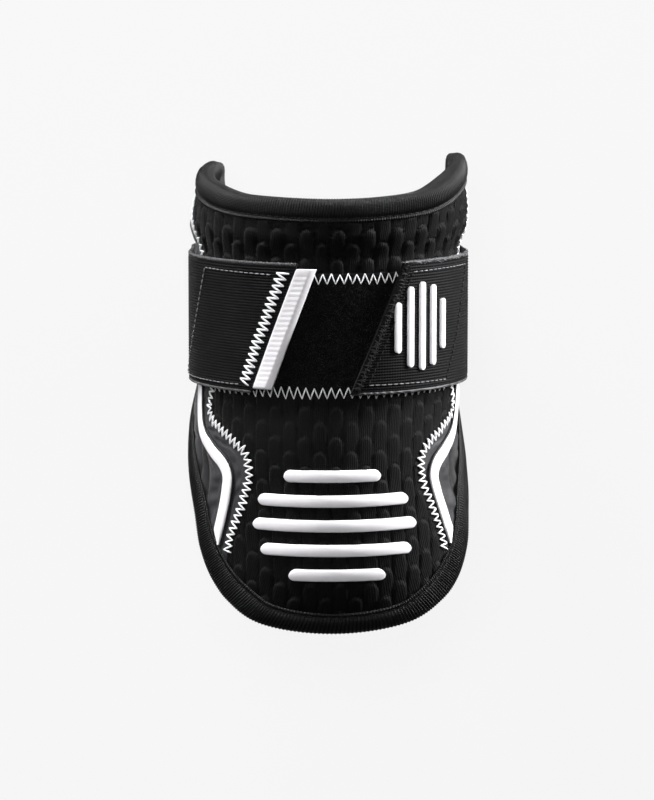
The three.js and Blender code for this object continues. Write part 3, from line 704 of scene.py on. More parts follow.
# %% Face cover
COLUMN, PERIOD, CAPSULE = 5.95, 11.4, 1.6  # a capsule's width, length and relief
FIRST = 64.0  # how far below the strap's middle one row of capsules starts
PANEL_SEAMS = (18.9, -24.9)  # heights of the two seams that sew the loop panel down


def capsules(s, y):
    """Heights from 0 in the grooves to 1 just under the capsules' round tops."""
    column = np.floor(s / COLUMN + 0.5)
    across = np.abs(2 * (s - column * COLUMN) / COLUMN)
    round_top = 0.75 * COLUMN * (1 - np.sqrt(np.maximum(1 - (0.97 * across) ** 2, 0)))
    place_in = (y + FIRST + round_top) / PERIOD + 0.5 * (column % 2)
    below_top = (np.ceil(place_in) - place_in) * PERIOD
    rise = smooth_step(below_top / 1.5) ** 0.6
    fade = 0.42 + 0.58 * (1 - smooth_step(below_top / (0.95 * PERIOD)))
    dome = np.maximum(1 - across**3.5, 0) ** 0.6
    return rise * fade * dome


columns, count = 200, 280
left, right_seam = (seam_line(side, count) for side in SIGNS)
left = beside(left, headings(left), SEAM_HALF)
right_seam = beside(right_seam, headings(right_seam), -SEAM_HALF)
bottom = evenly(outline, left_at(FOOT) - 1, right_at(FOOT), columns)
top = evenly(outline, left_at(TIP), right_at(TIP), columns)
bottom[[0, -1]], top[[0, -1]] = (left[0], right_seam[0]), (left[-1], right_seam[-1])
grid = patch(bottom, top, left, right_seam)
from_sides, from_ends = edge_distances(grid)
free = smooth_step((from_sides - 1.4) / 2.4) * smooth_step((from_ends - 6.4) / 2.2)
arc = grid[..., 0] * radius_at(grid[..., 1]) / SHELL
for y in PANEL_SEAMS:
    free *= 1 - 0.75 * np.exp(-(((grid[..., 1] - y) / 2.2) ** 2)) * (np.abs(grid[..., 0]) < 58)
free *= 1 - 0.4 * np.exp(-((arc / 40) ** 4) - ((grid[..., 1] + 38) / 13) ** 2)
free *= 1 - 0.3 * smooth_step((-28 - grid[..., 1]) / 8)
domes = capsules(arc - 1.4 + 0.35 * soft_noise(arc, grid[..., 1], 30, 5), grid[..., 1])
heights = -0.45 + (-0.6 + CAPSULE * domes) * free
heights += 0.15 * soft_noise(arc, grid[..., 1], 40, 3) * free
heights = np.minimum(heights, np.where(from_ends < 7.6, -0.05, 0.6))
# Painted shade: the grooves between the capsules are painted darker, most where the capsules stand free.
shade_mask = free * (1 - np.clip(domes * 2.1, 0, 1))
face_cover = sheet_mesh("face_cover_cloth", grid, heights, -COVER, jersey, shade_mask=shade_mask)

# %% [markdown]
# ## The wings
#
# The flanks are plain neoprene with a nylon face, thinner and smoother than the face cover, with two
# slanted grooves pressed in below each stripe so that the flank can fold when the arm bends.


# %% Wings
GROOVE_DEPTH, GROOVE_HALF = 1.5, 1.9


def pressed(grid, side):
    """Depths of the pressed grooves at each grid point, from 0 to 1."""
    deepest = np.zeros(grid.shape[:2])
    for rows in groove_rows:
        line = spline(flat_rows(rows, SIGNS[side]))
        for share in np.linspace(0, 1, 60):
            strength = math.sin(math.pi * min(max(share, 0.02), 0.98)) ** 0.5
            away = np.hypot(*(grid - line(share)[0]).transpose(2, 0, 1))
            deepest = np.maximum(deepest, strength * np.exp(-((away / GROOVE_HALF) ** 2)))
    return deepest


wings = {}
for side, sign in SIGNS.items():
    count, columns = 240, 60
    line = seam_line(side, count)
    line = beside(line, headings(line), SEAM_HALF * sign)
    at = right_at if side == "right" else left_at
    rear = evenly(outline, at(FOOT), at(TIP), count)
    line[0], line[-1] = rear[0], rear[-1]
    ends = [np.repeat(rear[k][None], columns + 1, 0) for k in (0, -1)]
    grid = patch(*ends, *(line, rear)[::sign])
    from_sides, _ = edge_distances(grid)
    depth = pressed(grid, side)
    heights = -0.25 - GROOVE_DEPTH * depth - 0.3 * (1 - smooth_step(from_sides / 2.2))
    stripe = stripe_line(side, 60)
    from_stripe = np.linalg.norm(grid[:, :, None] - stripe[None, None], axis=-1).min(-1)
    sewn = (from_sides < 4) | (depth > 0.45) | (from_stripe < 4.2)
    gained = swell(grid[4:-4:4, ::2], heights[4:-4:4, ::2], sewn[4:-4:4, ::2], 1.0, 0.02, 0.8)
    heights[4:-4] += refined(gained, heights[4:-4].shape)
    name = f"wing_cloth_{side}"
    # The pressed grooves also get painted shade in the neoprene's colour, by their depth.
    wings[side] = sheet_mesh(name, grid, heights, -COVER, neoprene, merge=True, shade_mask=depth)


# %% [markdown]
# ## The inner pad
#
# Behind the covers lies one layer of foam with a brushed lining, and it is what touches the arm. The
# binding holds its edge, and inside that it swells a little and ripples, most of all in the horns.

# %% Inner pad
columns, count = 120, 110
corners = (left_at(CORNER), right_at(CORNER))
bottom = evenly(outline, corners[0] - 1, corners[1], columns)
top = evenly(outline, left_at(TIP), right_at(TIP), columns)
left = evenly(outline, left_at(CORNER), left_at(TIP), count)
right_edge = evenly(outline, right_at(CORNER), right_at(TIP), count)
grid = patch(bottom, top, left, right_edge)[:, ::-1]
from_sides, from_ends = edge_distances(grid)
from_rim = np.minimum(from_sides, from_ends)
heights = np.full(from_rim.shape, -WALL)
gained = swell(grid[::2, ::2], heights[::2, ::2], from_rim[::2, ::2] < 7, 0.4, 0.015, 0.9)
heights += refined(gained, heights.shape)
pad = sheet_mesh("inner_pad_foam", grid, heights, -COVER - PAD_GAP, lining)

# %% [markdown]
# ## Woven ribs
#
# The binding tape and the elastic strap are both woven with ribs. A bump alone would leave their
# silhouettes smooth, so one Geometry Nodes tree lifts the ribs out of the mesh. Each point brings two
# values: how far it lies across the ribs, and how much of the rib's height it gets. The tree also writes
# a value of painted shade for each point, most in the hollows between ribs, and the cloth's colour is
# painted darker with it. A mesh needs four points to each rib: with two, the smooth normals of crests
# and hollows are the same, and the ribs vanish in the light.


# %% Rib tree
def new_tree(name, sockets):
    """A Geometry Nodes tree with named inputs, each with its kind or its usual value."""
    tree = bpy.data.node_groups.new(name, "GeometryNodeTree")
    for title, value in sockets.items():
        kind = {int: "Int", float: "Float"}.get(type(value), value)
        socket = tree.interface.new_socket(title, in_out="INPUT", socket_type=f"NodeSocket{kind}")
        if kind != value:
            socket.default_value = value
    tree.interface.new_socket("Geometry", in_out="OUTPUT", socket_type="NodeSocketGeometry")
    return tree, tree.nodes.new("NodeGroupInput").outputs


def end_tree(tree, geometry, material):
    real = add(tree, "GeometryNodeRealizeInstances", {"Geometry": geometry})
    dressed = add(tree, "GeometryNodeSetMaterial", {"Geometry": real, "Material": material})
    add(tree, "NodeGroupOutput", {"Geometry": dressed})


def noted(tree, name, kind):
    return add(tree, "GeometryNodeInputNamedAttribute", {"Name": name}, data_type=kind)


def rib_tree():
    sockets = {"Cloth": "Geometry", "Rib Pitch": 0.9, "Rib Height": 0.0001, "Yarn": "Material"}
    tree, given = new_tree("Woven Ribs", sockets)
    ribs = calc(tree, "DIVIDE", noted(tree, "across", "FLOAT"), given["Rib Pitch"])
    wave = calc(tree, "COSINE", calc(tree, "MULTIPLY", ribs, 2 * math.pi))
    shared = calc(tree, "MULTIPLY", wave, noted(tree, "share", "FLOAT"))
    rise = calc(tree, "MULTIPLY", shared, given["Rib Height"])
    outward = {0: add(tree, "GeometryNodeInputNormal"), "Scale": rise}
    offset = add(tree, "ShaderNodeVectorMath", outward, operation="SCALE")
    moved = add(tree, "GeometryNodeSetPosition", {"Geometry": given["Cloth"], "Offset": offset})
    # Painted shade for the colour: none on the crests, most in the hollows, and middling where there are no
    # ribs.
    shade_mask = calc(tree, "MULTIPLY_ADD", shared, -0.65, 0.65)
    values = {"Geometry": moved, "Name": "GrooveShade", "Value": shade_mask}
    stored = add(tree, "GeometryNodeStoreNamedAttribute", values, data_type="FLOAT")
    end_tree(tree, stored, given["Yarn"])
    return tree


def run_tree(obj, tree, values):
    """Set a tree's named inputs on an object and turn its result into the object's plain mesh."""
    modifier = obj.modifiers.new("made", "NODES")
    modifier.node_group = tree
    for item in tree.interface.items_tree:
        if item.item_type == "SOCKET" and item.in_out == "INPUT" and item.name in values:
            modifier[item.identifier] = values[item.name]
    evaluated = obj.evaluated_get(bpy.context.evaluated_depsgraph_get())
    obj.data = bpy.data.meshes.new_from_object(evaluated)
    obj.modifiers.remove(modifier)
    print(obj.name, len(obj.data.polygons), "faces")


rib_nodes = rib_tree()

# %% [markdown]
# ## The binding
#
# A ribbed tape is folded over the raw edges of both layers and sewn down all round. Beyond the seam its
# selvedge rolls up into a thin cord. The tape is one section swept round the outline. Its ribs are
# 1.05 mm apart. In the photograph they measure about 1.04 mm apart along the bottom of the guard.

# %% Binding
RIB = 1.05
TAPE = [
    # distance in from the wall's edge, height above the cover, and share of the rib's relief
    (7.15, 0.0, 0), (7.3, 0.35, 0), (7.1, 0.72, 0.6), (6.7, 0.85, 0.9), (6.3, 0.62, 0.6),
    (5.95, 0.3, 0), (5.55, 0.5, 0.4), (5.0, 1.0, 1), (4.0, 1.42, 1), (2.6, 1.68, 1), (1.1, 1.7, 1),
    (-0.3, 1.4, 1), (-1.2, 0.5, 0.6), (-1.65, -0.9, 0.4), (-1.7, -WALL / 2, 0.4),
    (-1.65, -WALL + 0.9, 1), (-1.2, -WALL - 0.5, 1), (-0.3, -WALL - 1.4, 1), (1.1, -WALL - 1.7, 1),
    (2.6, -WALL - 1.68, 1), (4.0, -WALL - 1.42, 1), (5.2, -WALL - 1.0, 0.6), (5.7, -WALL - 0.75, 0),
    (6.4, -WALL - 1.1, 0.3), (7.1, -WALL - 1.0, 0.3), (7.3, -WALL - 0.6, 0), (7.2, -WALL - 0.4, 0),
    (-0.35, -WALL - 0.35, 0), (-0.35, 0.05, 0),
]  # fmt: skip


def tube_faces(count, size, closed):
    """Faces of a tube of rings, each clockwise as seen along it."""
    index = np.arange(count * size).reshape(count, size)
    around = np.hstack([index, index[:, :1]])
    if closed:
        return [f[::-1] for f in quads(np.vstack([around, around[:1]]))]
    return [f[::-1] for f in quads(around)] + [index[0].tolist(), index[-1][::-1].tolist()]


stations = 4 * round(total / RIB)
line = evenly(outline, 0, 1, stations)[:-1]
direction = headings(line, closed=True)
along = np.arange(stations) * total / stations
rings, uv, shares = [], [], []
for (inward, h, rib_share), across in zip(TAPE, runs_of(np.array(TAPE)[:, :2])):
    rings.append(lay(beside(line, direction, -inward), h))
    uv.append(flat(along, across))
    shares.append(np.full(stations, rib_share))
rings, uv, shares = np.stack(rings, 1), np.stack(uv, 1).reshape(-1, 2), np.stack(shares, 1)
notes = {"across": np.repeat(along[:, None], len(TAPE), 1), "share": shares}
faces = tube_faces(stations, len(TAPE), True)
binding = piece("binding_tape", rings, faces, tape, uv, sharp=80, notes=notes)
values = {"Rib Pitch": 4 * total / stations, "Rib Height": 0.0003, "Yarn": tape.material}
run_tree(binding, rib_nodes, values)

# %% [markdown]
# ## The strap
#
# One length of 50 mm woven elastic runs from a slanted end, round the back and to the other slanted end.
# Its section is a thin band whose outer face has a rib for every row of rubber, 1.08 mm apart. It clears
# the fastener patches on the face, lies on the flanks, rides over the binding and runs straight across
# the back, where the guard rests on it.

# %% The strap's path
over_patches = GAP + 2 * PATCH + 2 * FACET
over_binding = BINDING + 2 * FACET
turns = np.radians([0, 66, 80, 92, 98, 108, 180])
heights = [over_patches] * 2 + [over_binding] + [FACET] * 2 + [over_binding] * 2
strap_height = curve_through(turns, heights)
LEAVES, TURN_IN = math.radians(128), 4.0


def strap_side(sign):
    """The strap's inner face on one side, from the middle of the face to the middle of the back."""
    turn = np.linspace(0, LEAVES, 400)
    radius = SEAT + strap_height(turn)
    x = sway_at(0) + sign * radius * np.sin(turn)
    z = AXIS + radius * np.cos(turn)
    down = (z[-1] - STRAP) / math.sin(LEAVES)
    corner = np.array([x[-1] + sign * down * math.cos(LEAVES), STRAP])
    start = corner + TURN_IN * np.array([-sign * math.cos(LEAVES), math.sin(LEAVES)])
    end = corner - np.array([sign * TURN_IN, 0])
    t = np.linspace(0, 1, 30)[:, None]
    bend = (1 - t) ** 2 * start + 2 * t * (1 - t) * corner + t * t * end
    middle = np.array([[sway_at(0), STRAP]])
    line = np.vstack([np.stack([x, z], -1), bend, middle])
    fine = spline(line)(np.linspace(0, 1, 12000))
    step = np.gradient(fine, axis=0)
    out = unit(sign * np.stack([-step[:, 1], step[:, 0]], -1))
    turns = np.arctan2(sign * (fine[:, 0] - sway_at(0)), fine[:, 1] - AXIS)
    return {"at": runs_of(fine), "line": fine, "out": out, "turn": turns}


strap_sides = {side: strap_side(sign) for side, sign in SIGNS.items()}
LEANS = {"left": math.radians(19.5), "right": math.radians(22.3)}
left_end = lambda y: 21.6 - y * math.tan(LEANS["left"])
right_end = lambda y: 16.1 + y * math.tan(LEANS["right"])
ENDS = {"left": left_end, "right": right_end}
beyond_left = lambda run, y: ((-left_end(y) - run) * SHELL / SEAT, y)
beyond_right = lambda run, y: ((right_end(y) + run) * SHELL / SEAT, y)


def strap_place(side, run, y, h):
    """Points at a run in mm from the middle of the face along the strap's inner face."""
    data = strap_sides[side]
    value = lambda name, k: np.interp(run, data["at"], data[name][:, k])
    x, z = (value("line", k) + value("out", k) * h for k in (0, 1))
    return np.stack([x, y + 0 * x, z], -1)


def strap_run(side, turn_mm):
    """The run along the strap of a distance round the cover under it."""
    data = strap_sides[side]
    inside = data["at"] < data["at"][-1] * 0.7
    return np.interp(turn_mm / SEAT, data["turn"][inside], data["at"][inside])


BACK = strap_sides["left"]["at"][-1]
print("half of the strap's path", round(BACK), "mm")

# %% Strap
RUBBER = 1.08
rows = 4 * round(STRAP_WIDTH / RUBBER)
ys = np.linspace(-STRAP_WIDTH / 2, STRAP_WIDTH / 2, rows + 1)
share = np.linspace(0, 1, 86)[:, None]
runs_left = strap_run("left", left_end(ys))[None] * (1 - share) + BACK * share
runs_right = strap_run("right", right_end(ys))[None] * share + BACK * (1 - share)
from_edge = STRAP_WIDTH / 2 - np.abs(ys)
round_off = 0.45 * (1 - smooth_step(from_edge / 1.0))
tops, lows, uv = [], [], []
for side, runs in (("left", runs_left), ("right", runs_right[1:])):
    tops.append(strap_place(side, runs, ys[None], np.broadcast_to(STRAP - 0.2 - round_off, runs.shape)))
    lows.append(strap_place(side, runs, ys[None], np.broadcast_to(0.9 * round_off, runs.shape)))
    along = runs if side == "left" else 2 * BACK - runs
    uv.append(flat(along, ys))
tops, lows, uv = np.vstack(tops), np.vstack(lows), np.vstack(uv)
rings = np.concatenate([tops, lows[:, ::-1]], 1)
uvs = np.concatenate([uv, uv[:, ::-1]], 1)
count, size = rings.shape[:2]
index = np.arange(count * size).reshape(count, size)
faces = quads(np.hstack([index, index[:, :1]]))
for ring, turned in ((index[0], False), (index[-1], True)):
    for i in range(rows):
        face = [ring[i], ring[size - 1 - i], ring[size - 2 - i], ring[i + 1]]
        faces.append([int(v) for v in (face[::-1] if turned else face)])
ribbed = (from_edge > 1.1) * 1.0
shares = np.concatenate([ribbed, 0.3 * ribbed])[None] * np.ones((count, 1))
shares[[0, -1]] = 0
notes = {"across": uvs[..., 1], "share": shares}
uvs = uvs.reshape(-1, 2)
strap = piece("strap_elastic", rings, faces, elastic, uvs, sharp=70, notes=notes)
values = {"Rib Pitch": 4 * STRAP_WIDTH / rows, "Rib Height": 0.0002, "Yarn": elastic.material}
run_tree(strap, rib_nodes, values)

# %% [markdown]
# ## Cords
#
# The strap's two long edges are woven into thin round selvedges, and a thin dark cord of painted shade
# runs along the inner side of each wing stripe. Both follow a path, so a second tree sweeps a round
# section along it.


# %% Cord tree
def swept(tree, curve, sides, radius, **more):
    """A round section swept along a curve, with smooth shading."""
    ring = add(tree, "GeometryNodeCurvePrimitiveCircle", {"Resolution": sides, "Radius": radius})
    values = {"Curve": curve, "Profile Curve": ring, "Fill Caps": True}
    solid = add(tree, "GeometryNodeCurveToMesh", values | more)
    return add(tree, "GeometryNodeSetShadeSmooth", {"Geometry": solid})


def cord_tree():
    tree, given = new_tree("Cord", {"Path": "Geometry", "Cord Radius": 0.0005, "Yarn": "Material"})
    curve = add(tree, "GeometryNodeMeshToCurve", {"Mesh": given["Path"]})
    end_tree(tree, swept(tree, curve, 8, given["Cord Radius"]), given["Yarn"])
    return tree


cord_nodes = cord_tree()


def cord_along(name, paths, finish, radius):
    """Round cords of a radius in mm along paths of points in mm."""
    edges, start = [], 0
    for points in paths:
        edges += [(start + i, start + i + 1) for i in range(len(points) - 1)]
        start += len(points)
    made = linked(name, np.vstack(paths), edges)
    run_tree(made, cord_nodes, {"Cord Radius": radius / 1000, "Yarn": finish.material})
    return made


# %% Selvedges of the strap
paths = []
share = np.linspace(0.004, 1, 150)
for y in (-24.75, 24.75):
    runs = [strap_run(side, end(y)) * (1 - share) + BACK * share for side, end in ENDS.items()]
    start = strap_place("left", runs[0], y, STRAP / 2 + 0.1)
    stop = strap_place("right", runs[1][:-1][::-1], y, STRAP / 2 + 0.1)
    paths.append(np.vstack([start, stop]))
selvedges = cord_along("strap_selvedges", paths, selvedge, 0.62)

# %% [markdown]
# ## Fastener patches
#
# The middle of the face carries a panel of looped pile, and each strap end has a patch of hooks under
# it. Only the pile between the two ends shows. Its nap is a bump, and the loops that stand up from it
# are small arches scattered over the panel with Geometry Nodes further down.

# %% Loop panel and hook patches
PANEL_HALF, PANEL_LOW, PANEL_HIGH = 57.5, -24.7, 20.9
HOOK_LENGTH, HOOK_HALF = 40, 21


def between(start, stop, low, high, columns, rows):
    y = np.linspace(low, high, rows + 1)[:, None]
    share = np.linspace(0, 1, columns + 1)[None]
    s = start(y) * (1 - share) + stop(y) * share
    return flat(s * SHELL / SEAT, y)


panel_end = lambda y: PANEL_HALF + 0 * y
grid = between(lambda y: -panel_end(y), panel_end, PANEL_LOW, PANEL_HIGH, 150, 60)
tops = GAP + PATCH + 0.1 * soft_noise(grid[..., 0], grid[..., 1], 6, 11)
from_sides, from_ends = edge_distances(grid)
tops -= 0.45 * (1 - smooth_step(np.minimum(from_sides, from_ends) / 1.3))
loop_panel = sheet_mesh("loop_panel_pile", grid, tops, GAP, pile)

hooks = {}
for (side, end), shown in zip(ENDS.items(), (6.8, -1.0)):
    near = lambda y: SIGNS[side] * (end(y) - shown)
    far = lambda y: SIGNS[side] * (end(y) + HOOK_LENGTH)
    grid = between(*(near, far)[:: SIGNS[side]], -HOOK_HALF, HOOK_HALF, 60, 40)
    tops = strap_height(np.abs(grid[..., 0] / SHELL)) - FACET
    hooks[side] = sheet_mesh(f"hook_patch_cloth_{side}", grid, tops, (tops - PATCH).ravel(), pile, step=1)


# %% [markdown]
# ## Moulded rubber
#
# The white pieces are silicone moulded onto the cloth: the wing stripes, the pull tab on the strap's
# left end, and the raised bars. Each is a low section swept along a line, with round shoulders, because
# a mould leaves no sharp edge.


# %% Strips of rubber
def low_section(height):
    """Across, as a share of the half width, and height. Its foot is pressed 0.4 mm into the cloth."""
    side = [(1, -0.4), (1, 0.5 * height), (0.93, 0.8 * height), (0.75, height)]
    return [(-across, h) for across, h in side] + [(0, 1.04 * height)] + side[::-1]


def strip_rings(line, half_widths, section, base):
    """Rings of a section swept along flat points, with its foot at height base."""
    direction = headings(line)
    return np.stack([lay(beside(line, direction, a * half_widths), base + h) for a, h in section], 1)


def joined(name, many, finish, sharp=50):
    """Several open sweeps as one piece."""
    faces, start = [], 0
    for rings in many:
        count, size = rings.shape[:2]
        faces += [[v + start for v in face] for face in tube_faces(count, size, False)]
        start += count * size
    return piece(name, np.vstack([rings.reshape(-1, 3) for rings in many]), faces, finish, sharp=sharp)


STRIPE_HALF, STRIPE_RISE, EDGE_SHADE_CORD = 2.45, 0.9, 0.45
stripes, edge_shade_cords = {}, []
for side, sign in SIGNS.items():
    line = stripe_line(side, 200)
    inner = STRIPE_HALF * (0.9 + 0.1 * smooth_step(np.arange(len(line)) / 20))
    clear = from_rim_of(line) - 7.5
    outer = np.minimum(inner, np.where(line[:, 1] < -60, clear, inner))
    keep = inner + outer > 0.4
    line, inner, outer = line[keep], inner[keep], outer[keep]
    direction = headings(line)
    middle_line = beside(line, direction, sign * (inner - outer) / 2)
    rings = strip_rings(middle_line, (inner + outer) / 2, low_section(STRIPE_RISE), 0.05)
    stripes[side] = joined(f"wing_stripe_rubber_{side}", [rings], silicone)
    # Painted shade: a dark cord of tape along the stripe's inner edge stands for the dark shade along that
    # edge.
    edge_shade_cords.append(lay(beside(line, direction, sign * (inner + 0.5)), 0.3))
stripe_edge_shade_cord = cord_along("stripe_edge_shade_cord", edge_shade_cords, tape, EDGE_SHADE_CORD)

# %% Bars on the face and on the strap
BARS, OVAL = 5, 0.82  # how many bars, and how much of their stack follows an oval
FACE = {"step": 9.6, "middle": -76, "long": 65, "wide": 4.6, "rise": 1.15}
BAND = {"step": 5.2, "middle": math.radians(37.5) * SEAT, "long": 34, "wide": 2.6, "rise": 0.7}


def bar_rings(start, stop, sizes, base):
    """One bar with round ends between two flat points."""
    start, stop = np.array(start, float), np.array(stop, float)
    end = sizes["wide"] / 2 / float(np.linalg.norm(stop - start))
    round_off = np.linspace(0.12, math.pi / 2, 9)
    cap, wide = 1 - np.cos(round_off), np.sin(round_off)
    shares = np.concatenate([cap * end, np.linspace(end, 1 - end, 36)[1:-1], 1 - cap[::-1] * end])
    widths = np.concatenate([wide, np.ones(34), wide[::-1]]) * sizes["wide"] / 2
    line = start * (1 - shares[:, None]) + stop * shares[:, None]
    return strip_rings(line, widths, low_section(sizes["rise"]), base)


face_rings, strap_rings = [], []
for i in range(BARS):
    step = i - (BARS - 1) / 2
    oval = math.sqrt(1 - (OVAL * step / ((BARS - 1) / 2)) ** 2)
    y = FACE["middle"] - step * FACE["step"]
    half = FACE["long"] * oval / 2 * SHELL / float(radius_at(y))
    face_rings.append(bar_rings((-half, y), (half, y), FACE, 0.2))
    s = (BAND["middle"] + step * BAND["step"]) * SHELL / SEAT
    half = BAND["long"] * oval / 2
    strap_rings.append(bar_rings((s, -half), (s, half), BAND, over_patches + STRAP + 0.1))
face_bars = joined("face_bars_rubber", face_rings, silicone)
strap_bars = joined("strap_bars_rubber", strap_rings, silicone)

# %% Pull tab, with plain grip ridges across its flat top
TAB_WIDTH, TAB_HALF = 6.7, STRAP_WIDTH / 2 - 1.4
TAB = [
    # across, as a share of the half width, height, and whether the ridges reach it
    (-1, 0, 0), (-1, 2.1, 0), (-0.95, 2.5, 0), (-0.85, 2.6, 0), (-0.7, 2.6, 1),
    (0.3, 2.6, 1), (0.42, 2.55, 0), (0.95, 1.3, 0), (1, 1.1, 0), (1, 0, 0),
]  # fmt: skip
y = np.linspace(-TAB_HALF, TAB_HALF - 0.6, 97)
half = TAB_WIDTH / 2 / math.cos(LEANS["left"])
line = flat((-left_end(y) + half + 0.3) * SHELL / SEAT, y)
ends = smooth_step(np.minimum(y + TAB_HALF, TAB_HALF - y) / 0.7) * 0.35 + 0.65
ridge = np.where((np.arange(len(y)) // 2) % 2 == 0, 0.0, -0.13) * (np.abs(y) < TAB_HALF - 3)
rings = []
for across, h, ridged in TAB:
    rings.append(lay(line + (across * half * SHELL / SEAT, 0), over_patches + h * ends + ridge * ridged))
tab = joined("pull_tab_rubber", [np.stack(rings, 1)], silicone, sharp=40)

# %% Hem folded under the strap's right end
HEM = [(0.0, 0.1), (0.0, 0.75), (0.4, 1.0), (2.8, 1.0), (3.3, 0.7), (3.4, 0.1)]
y = np.linspace(-STRAP_WIDTH / 2 + 0.3, STRAP_WIDTH / 2 - 0.3, 100)
run = strap_run("right", right_end(y)) - 0.1
rings = [strap_place("right", run + across, y, STRAP - 0.3 + h * 0.8) for across, h in HEM]
hem = joined("strap_hem", [np.stack(rings, 1)[:, ::-1]], pile)

# %% [markdown]
# ## Stitching
#
# Thread shows almost everywhere on this guard: white zigzags over the seams, at the strap's left end and
# along the loop panel, and rows of straight stitches on the strap and the binding. A stitch is one short
# arch of thread, so a Geometry Nodes tree puts a copy on every point of a mesh. Each point carries the
# stitch's run as a vector and the direction that faces out, and the tree turns and stretches its copy to
# fit. Realize Instances makes them real, because the export drops instances.


# %% Stitch tree
def stitch_tree():
    sockets = {"Points": "Geometry", "Thread Radius": 0.0004, "Arch": 0.0003}
    sockets |= {"Thread Sides": 6, "Thread Steps": 6, "Thread": "Material"}
    tree, given = new_tree("Stitches", sockets)
    line = add(tree, "GeometryNodeCurvePrimitiveLine", {"Start": (-0.5, 0, 0), "End": (0.5, 0, 0)})
    fine = add(tree, "GeometryNodeResampleCurve", {"Curve": line, "Count": given["Thread Steps"]})
    along = add(tree, "ShaderNodeSeparateXYZ", {"Vector": add(tree, "GeometryNodeInputPosition")})
    fall = calc(tree, "MULTIPLY_ADD", calc(tree, "MULTIPLY", along, along), -4.0, 1.0)
    rise = add(tree, "ShaderNodeCombineXYZ", {"Z": calc(tree, "MULTIPLY", fall, given["Arch"])})
    arched = add(tree, "GeometryNodeSetPosition", {"Geometry": fine, "Offset": rise})
    thin = calc(tree, "MULTIPLY_ADD", fall, 0.4, 0.6)
    tapered = add(tree, "GeometryNodeSetCurveRadius", {"Curve": arched, "Radius": thin})
    smooth = swept(tree, tapered, given["Thread Sides"], given["Thread Radius"], Scale=thin)
    run, outward = (noted(tree, name, "FLOAT_VECTOR") for name in ("run", "up"))
    turn = add(tree, "FunctionNodeAlignRotationToVector", {"Vector": run}, axis="X")
    values = {"Rotation": turn, "Vector": outward}
    upright = add(tree, "FunctionNodeAlignRotationToVector", values, axis="Z", pivot_axis="X")
    reach = add(tree, "ShaderNodeVectorMath", {0: run}, out="Value", operation="LENGTH")
    stretch = add(tree, "ShaderNodeCombineXYZ", {"X": reach, "Y": 1.0, "Z": 1.0})
    values = {"Points": given["Points"], "Instance": smooth, "Rotation": upright, "Scale": stretch}
    copies = add(tree, "GeometryNodeInstanceOnPoints", values)
    end_tree(tree, copies, given["Thread"])
    return tree


stitch_nodes = stitch_tree()


def stitch(name, segments, finish, radius, arch, sides=6, steps=6):
    """Stitches from segments, each a start, an end and an outward direction in mm."""
    starts, ends, outward = (np.vstack([s[k] for s in segments]) for k in range(3))
    made = linked(name, (starts + ends) / 2)
    for key, vectors in (("run", (ends - starts) / 1000), ("up", outward)):
        layer = made.data.attributes.new(key, "FLOAT_VECTOR", "POINT")
        layer.data.foreach_set("vector", np.asarray(vectors, dtype=np.float32).ravel())
    values = {"Thread Radius": radius / 1000, "Arch": arch / 1000, "Thread": finish.material}
    run_tree(made, stitch_nodes, values | {"Thread Sides": sides, "Thread Steps": steps})
    return made


# %% [markdown]
# The lines below turn a path into stitches. A zigzag goes from one side of its path to the other at
# every half pitch. A straight seam is a row of short runs with gaps between them. A little seeded
# unevenness keeps the rows from looking printed.


# %% Stitch lines
PITCHES = {"seam": 1.36, "end": 1.3, "panel": 1.66, "box": 2.4, "binding": 3.1}  # mm along each line


def outward_at(line):
    return normal_at(line[:, 0] / SHELL, line[:, 1])


def by_turns(count):
    """The numbers 1 and -1 by turns."""
    return np.where(np.arange(count) % 2 == 0, 1.0, -1.0)


def zigzag(line, half_width, h, base, seed=1, uneven=0.12):
    """Segments that cross a line of flat points from side to side."""
    random = np.random.default_rng(seed)
    sides = by_turns(len(line)) * half_width
    moved = beside(line, headings(line), sides * (1 + uneven * random.uniform(-1, 1, len(line))))
    points = lay(moved, base(moved) + h)
    return points[:-1], points[1:], outward_at(moved[:-1])


def dashes(line, h, base, gap=0.28):
    """Segments along a line of flat points, each short of its step by a share."""
    points = lay(line, base(line) + h)
    step = np.diff(points, axis=0) * gap / 2
    return points[:-1] + step, points[1:] - step, outward_at(line[:-1])


def path(points, step):
    """Even flat points a step apart through a few flat points."""
    curve = spline(points)
    length = runs_of(curve(np.linspace(0, 1, 800)))[-1]
    return evenly(curve, 0, 1, max(2, round(length / step)))


on_wall = lambda p: 0.0
on_strap = lambda p: strap_height(np.abs(p[..., 0]) / SHELL) + STRAP - 0.05
beside_panel = lambda p: np.interp(p[:, 1], [-26, -24.4, 20.4, 21.4], [0.3, 1.1, 1.1, 0.3])

# %% Zigzags on the two seams of the face
seam_threads = []
for side in SIGNS:
    line = seam_line(side, 400)
    keep = (from_rim_of(line) > 7.9) | (line[:, 1] > 0)
    keep &= line[:, 1] < UP + 1
    line = evenly(spline(line[keep][::8]), 0, 1, round(runs_of(line[keep])[-1] / PITCHES["seam"]))
    seam_threads.append(zigzag(line, 1.85, 0.0, on_wall, seed=4, uneven=0.2))
seam_zigzag = stitch("seam_zigzag", seam_threads, white_thread, 0.38, 0.25)

# %% Zigzags on the strap's left end and along the loop panel
line = path([beyond_left(4.1, y) for y in (-21.8, -10, 0, 10, 22)], PITCHES["end"])
crossing = [zigzag(line, 2.1, 0.1, on_strap, seed=6)]
end_zigzag = stitch("strap_end_zigzag", crossing, white_thread, 0.45, 0.3)
rows = []
for y, half in zip(PANEL_SEAMS, (2.0, 2.2)):
    line = path([(s, y) for s in (-56, -28, 0, 28, 56)], PITCHES["panel"])
    rows.append(zigzag(line, half, 0.15, beside_panel, seed=9))
panel_zigzag = stitch("loop_panel_zigzag", rows, white_thread, 0.25, 0.2)

